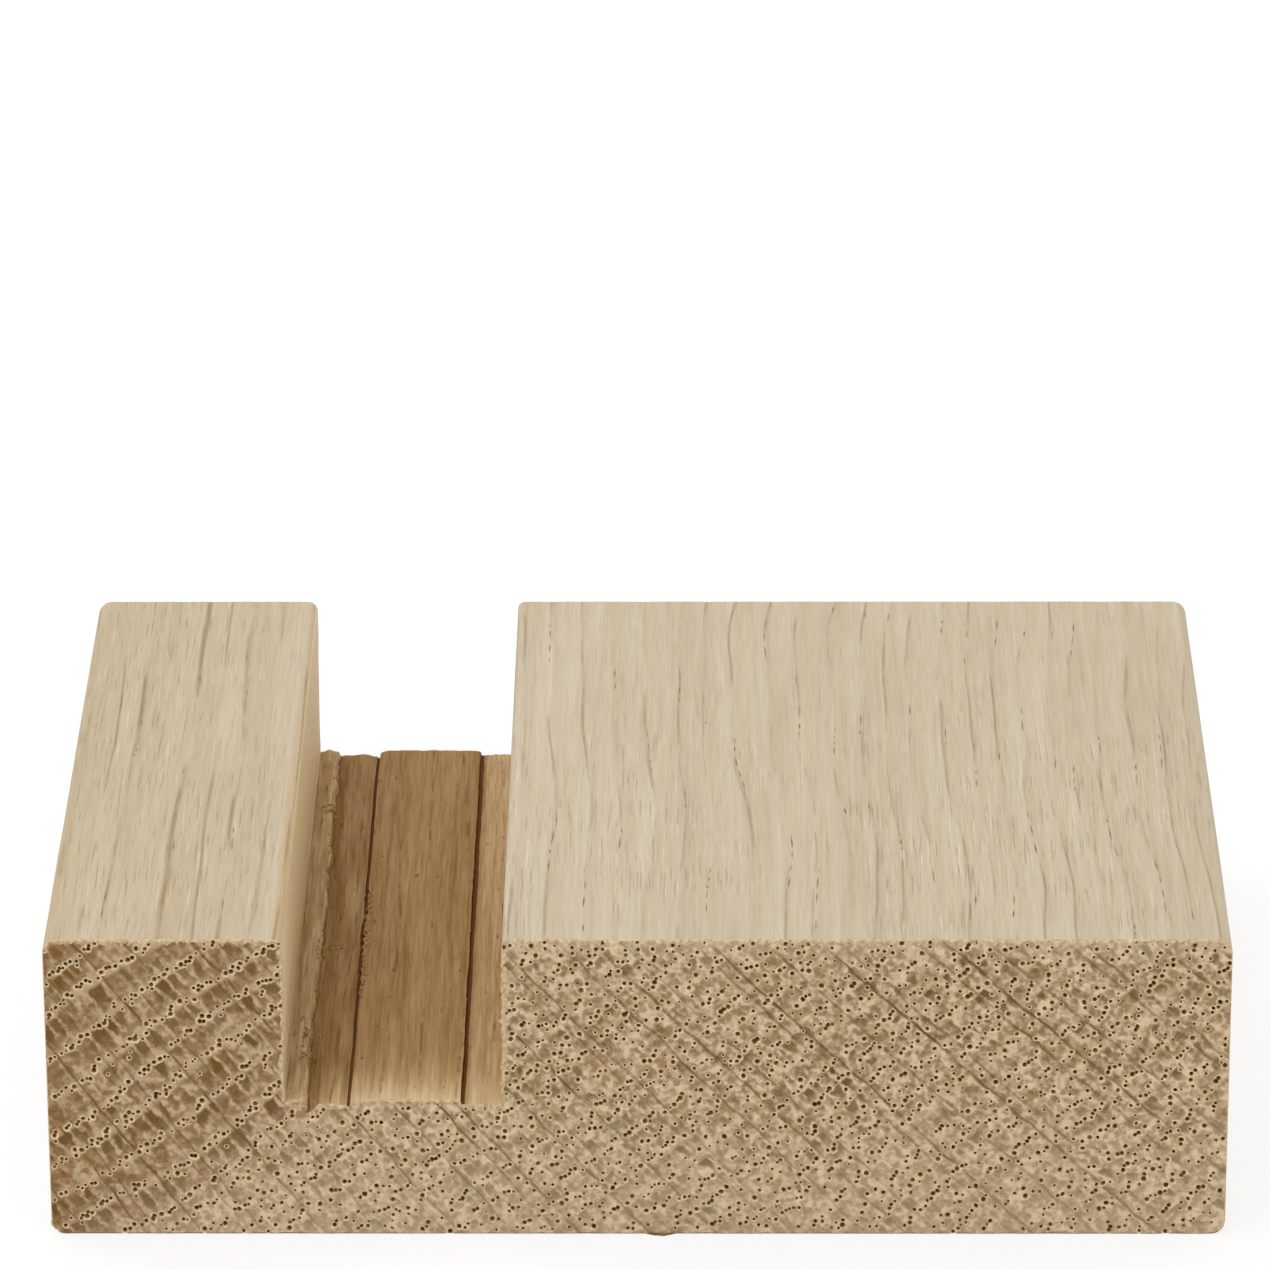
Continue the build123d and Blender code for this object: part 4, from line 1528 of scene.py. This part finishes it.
spin = random.Random(SPIN_SEED)
on_ends = [[], []]
for y, side, kinds in ends:
    for cuts, mouths in zip(on_ends, kinds):
        for x, z, size in mouths:
            cuts.append(((x, y, z), (math.pi / 2 * side, spin.uniform(0, math.pi), 0.0), size))
large, small = on_ends
jobs = (
    ("vessel", funnel, large, LARGE_VESSEL | {"Hollow": hollow}, "DIFFERENCE"),
    ("small_vessel", funnel, small, SMALL_VESSEL | {"Hollow": hollow}, "DIFFERENCE"),
    ("trough", spindle, troughs, {"Hollow": planed_open}, "DIFFERENCE"),
    ("crumb", lump, crumbs, {"Hollow": crumbled}, "UNION"),
    ("tuft", lump, tufts, {"Hollow": torn}, "UNION"),
)
carved = stock
for name, make_cutter, cuts, values, operation in jobs:
    carved = carve(carved, name, make_cutter, cuts, values | {"Pale rim": pale_rim}, operation)
print("finishes on the mesh:", [finish.name if finish else None for finish in carved.materials])

# %% [markdown]
# ## A flat map of the faces
# A game or a viewer wants the wood's colours as one picture, wrapped on by a map. An automatic map would
# tear the block into thousands of scraps, one for each vessel. A block has few sides, so each side here
# is one flat chart, and the ends, which hold the finest figure, get the largest share of the picture.

# %% Charts
MAP_PX = 1024
X, Y, Z = range(3)

# Each chart's two axes with their starts in mm, its px per mm, and its place in px
CHARTS = {
    "front": (X, left, Z, bottom, 13.0, 4, 4),
    "back": (X, left, Z, bottom, 13.0, 4, 246),
    "left": (Z, bottom, Y, front, 7.0, 862, 4),
    "right": (Z, bottom, Y, front, 7.0, 862, 342),
    "floor": (X, slot_left, Y, front, 11.0, 4, 490),
    "narrow post": (X, left, Y, front, 9.0, 146, 490),
    "wide post": (X, slot_right, Y, front, 9.0, 276, 490),
    "left wall": (Z, slot_floor, Y, front, 7.0, 648, 490),
    "right wall": (Z, slot_floor, Y, front, 7.0, 728, 490),
    "bottom": (Y, front, X, left, 4.8, 792, 684),
}
END_FINISHES = {finish.name for finish in (end_grain, torn, lower_edge_shadow_paint, hollow, pale_rim)}
SLOT_FINISHES = {finish.name for finish in (milled, crumbled)}
WALL_FOOT_MM, SLOT_LOW_MM, WALL_NEAR_MM = 0.3, 3.0, 1


def chart_of(centre, normal, finish):
    """The chart that a face lies on, by its finish, its place and the way it faces."""
    x, y, z = centre
    if finish in END_FINISHES:
        return "front" if y < 0 else "back"
    if finish in SLOT_FINISHES and z < slot_floor + SLOT_LOW_MM:
        if abs(normal.z) > abs(normal.x) or z < slot_floor + WALL_FOOT_MM:
            return "floor"
    away = {"bottom": z - bottom, "left": x - left, "right": right - x}
    away |= {"narrow post" if x < slot_left else "wide post": top - z}
    if slot_left - WALL_NEAR_MM < x < slot_right + WALL_NEAR_MM:
        away |= {"left wall": abs(x - slot_left), "right wall": abs(x - slot_right)}
    return min(away, key=away.get)


def add_map(mesh):
    """Lays every face on its chart. Gives the least and the largest share of the picture in use."""
    names = [finish.name for finish in mesh.materials]
    flat_map = mesh.uv_layers.new(name="OFBake")
    places = [vertex.co / MM for vertex in mesh.vertices]
    spots = [0.0] * (2 * len(mesh.loops))
    for face in mesh.polygons:
        chart = CHARTS[chart_of(face.center / MM, face.normal, names[face.material_index])]
        u_axis, u_start, v_axis, v_start, px_per_mm, u_px, v_px = chart
        for i in face.loop_indices:
            place = places[mesh.loops[i].vertex_index]
            spots[2 * i] = (u_px + (place[u_axis] - u_start) * px_per_mm) / MAP_PX
            spots[2 * i + 1] = (v_px + (place[v_axis] - v_start) * px_per_mm) / MAP_PX
    flat_map.data.foreach_set("uv", spots)
    return min(spots), max(spots)


print("map runs from and to:", [round(edge, 3) for edge in add_map(carved)])

# %% [markdown]
# ## Finish the piece
# The carved mesh becomes the one visible piece. Shading it all smooth would blur the flat faces, and all
# flat would show the steps of the arrises, so each face follows the mark that it stored. The piece stands
# for the block that the frame loaded, and moves with it.

# %% Finish
CREASE_ANGLE = math.radians(32)
carved.set_sharp_from_angle(angle=CREASE_ANGLE)
carved.polygons.foreach_set("use_smooth", [face.value < 0.5 for face in carved.attributes["flat"].data])
holder = bpy.data.objects.new("oak_holder", carved)
scene.collection.objects.link(holder)
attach(holder, "root")
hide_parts("oak_block")
bpy.context.view_layer.update()
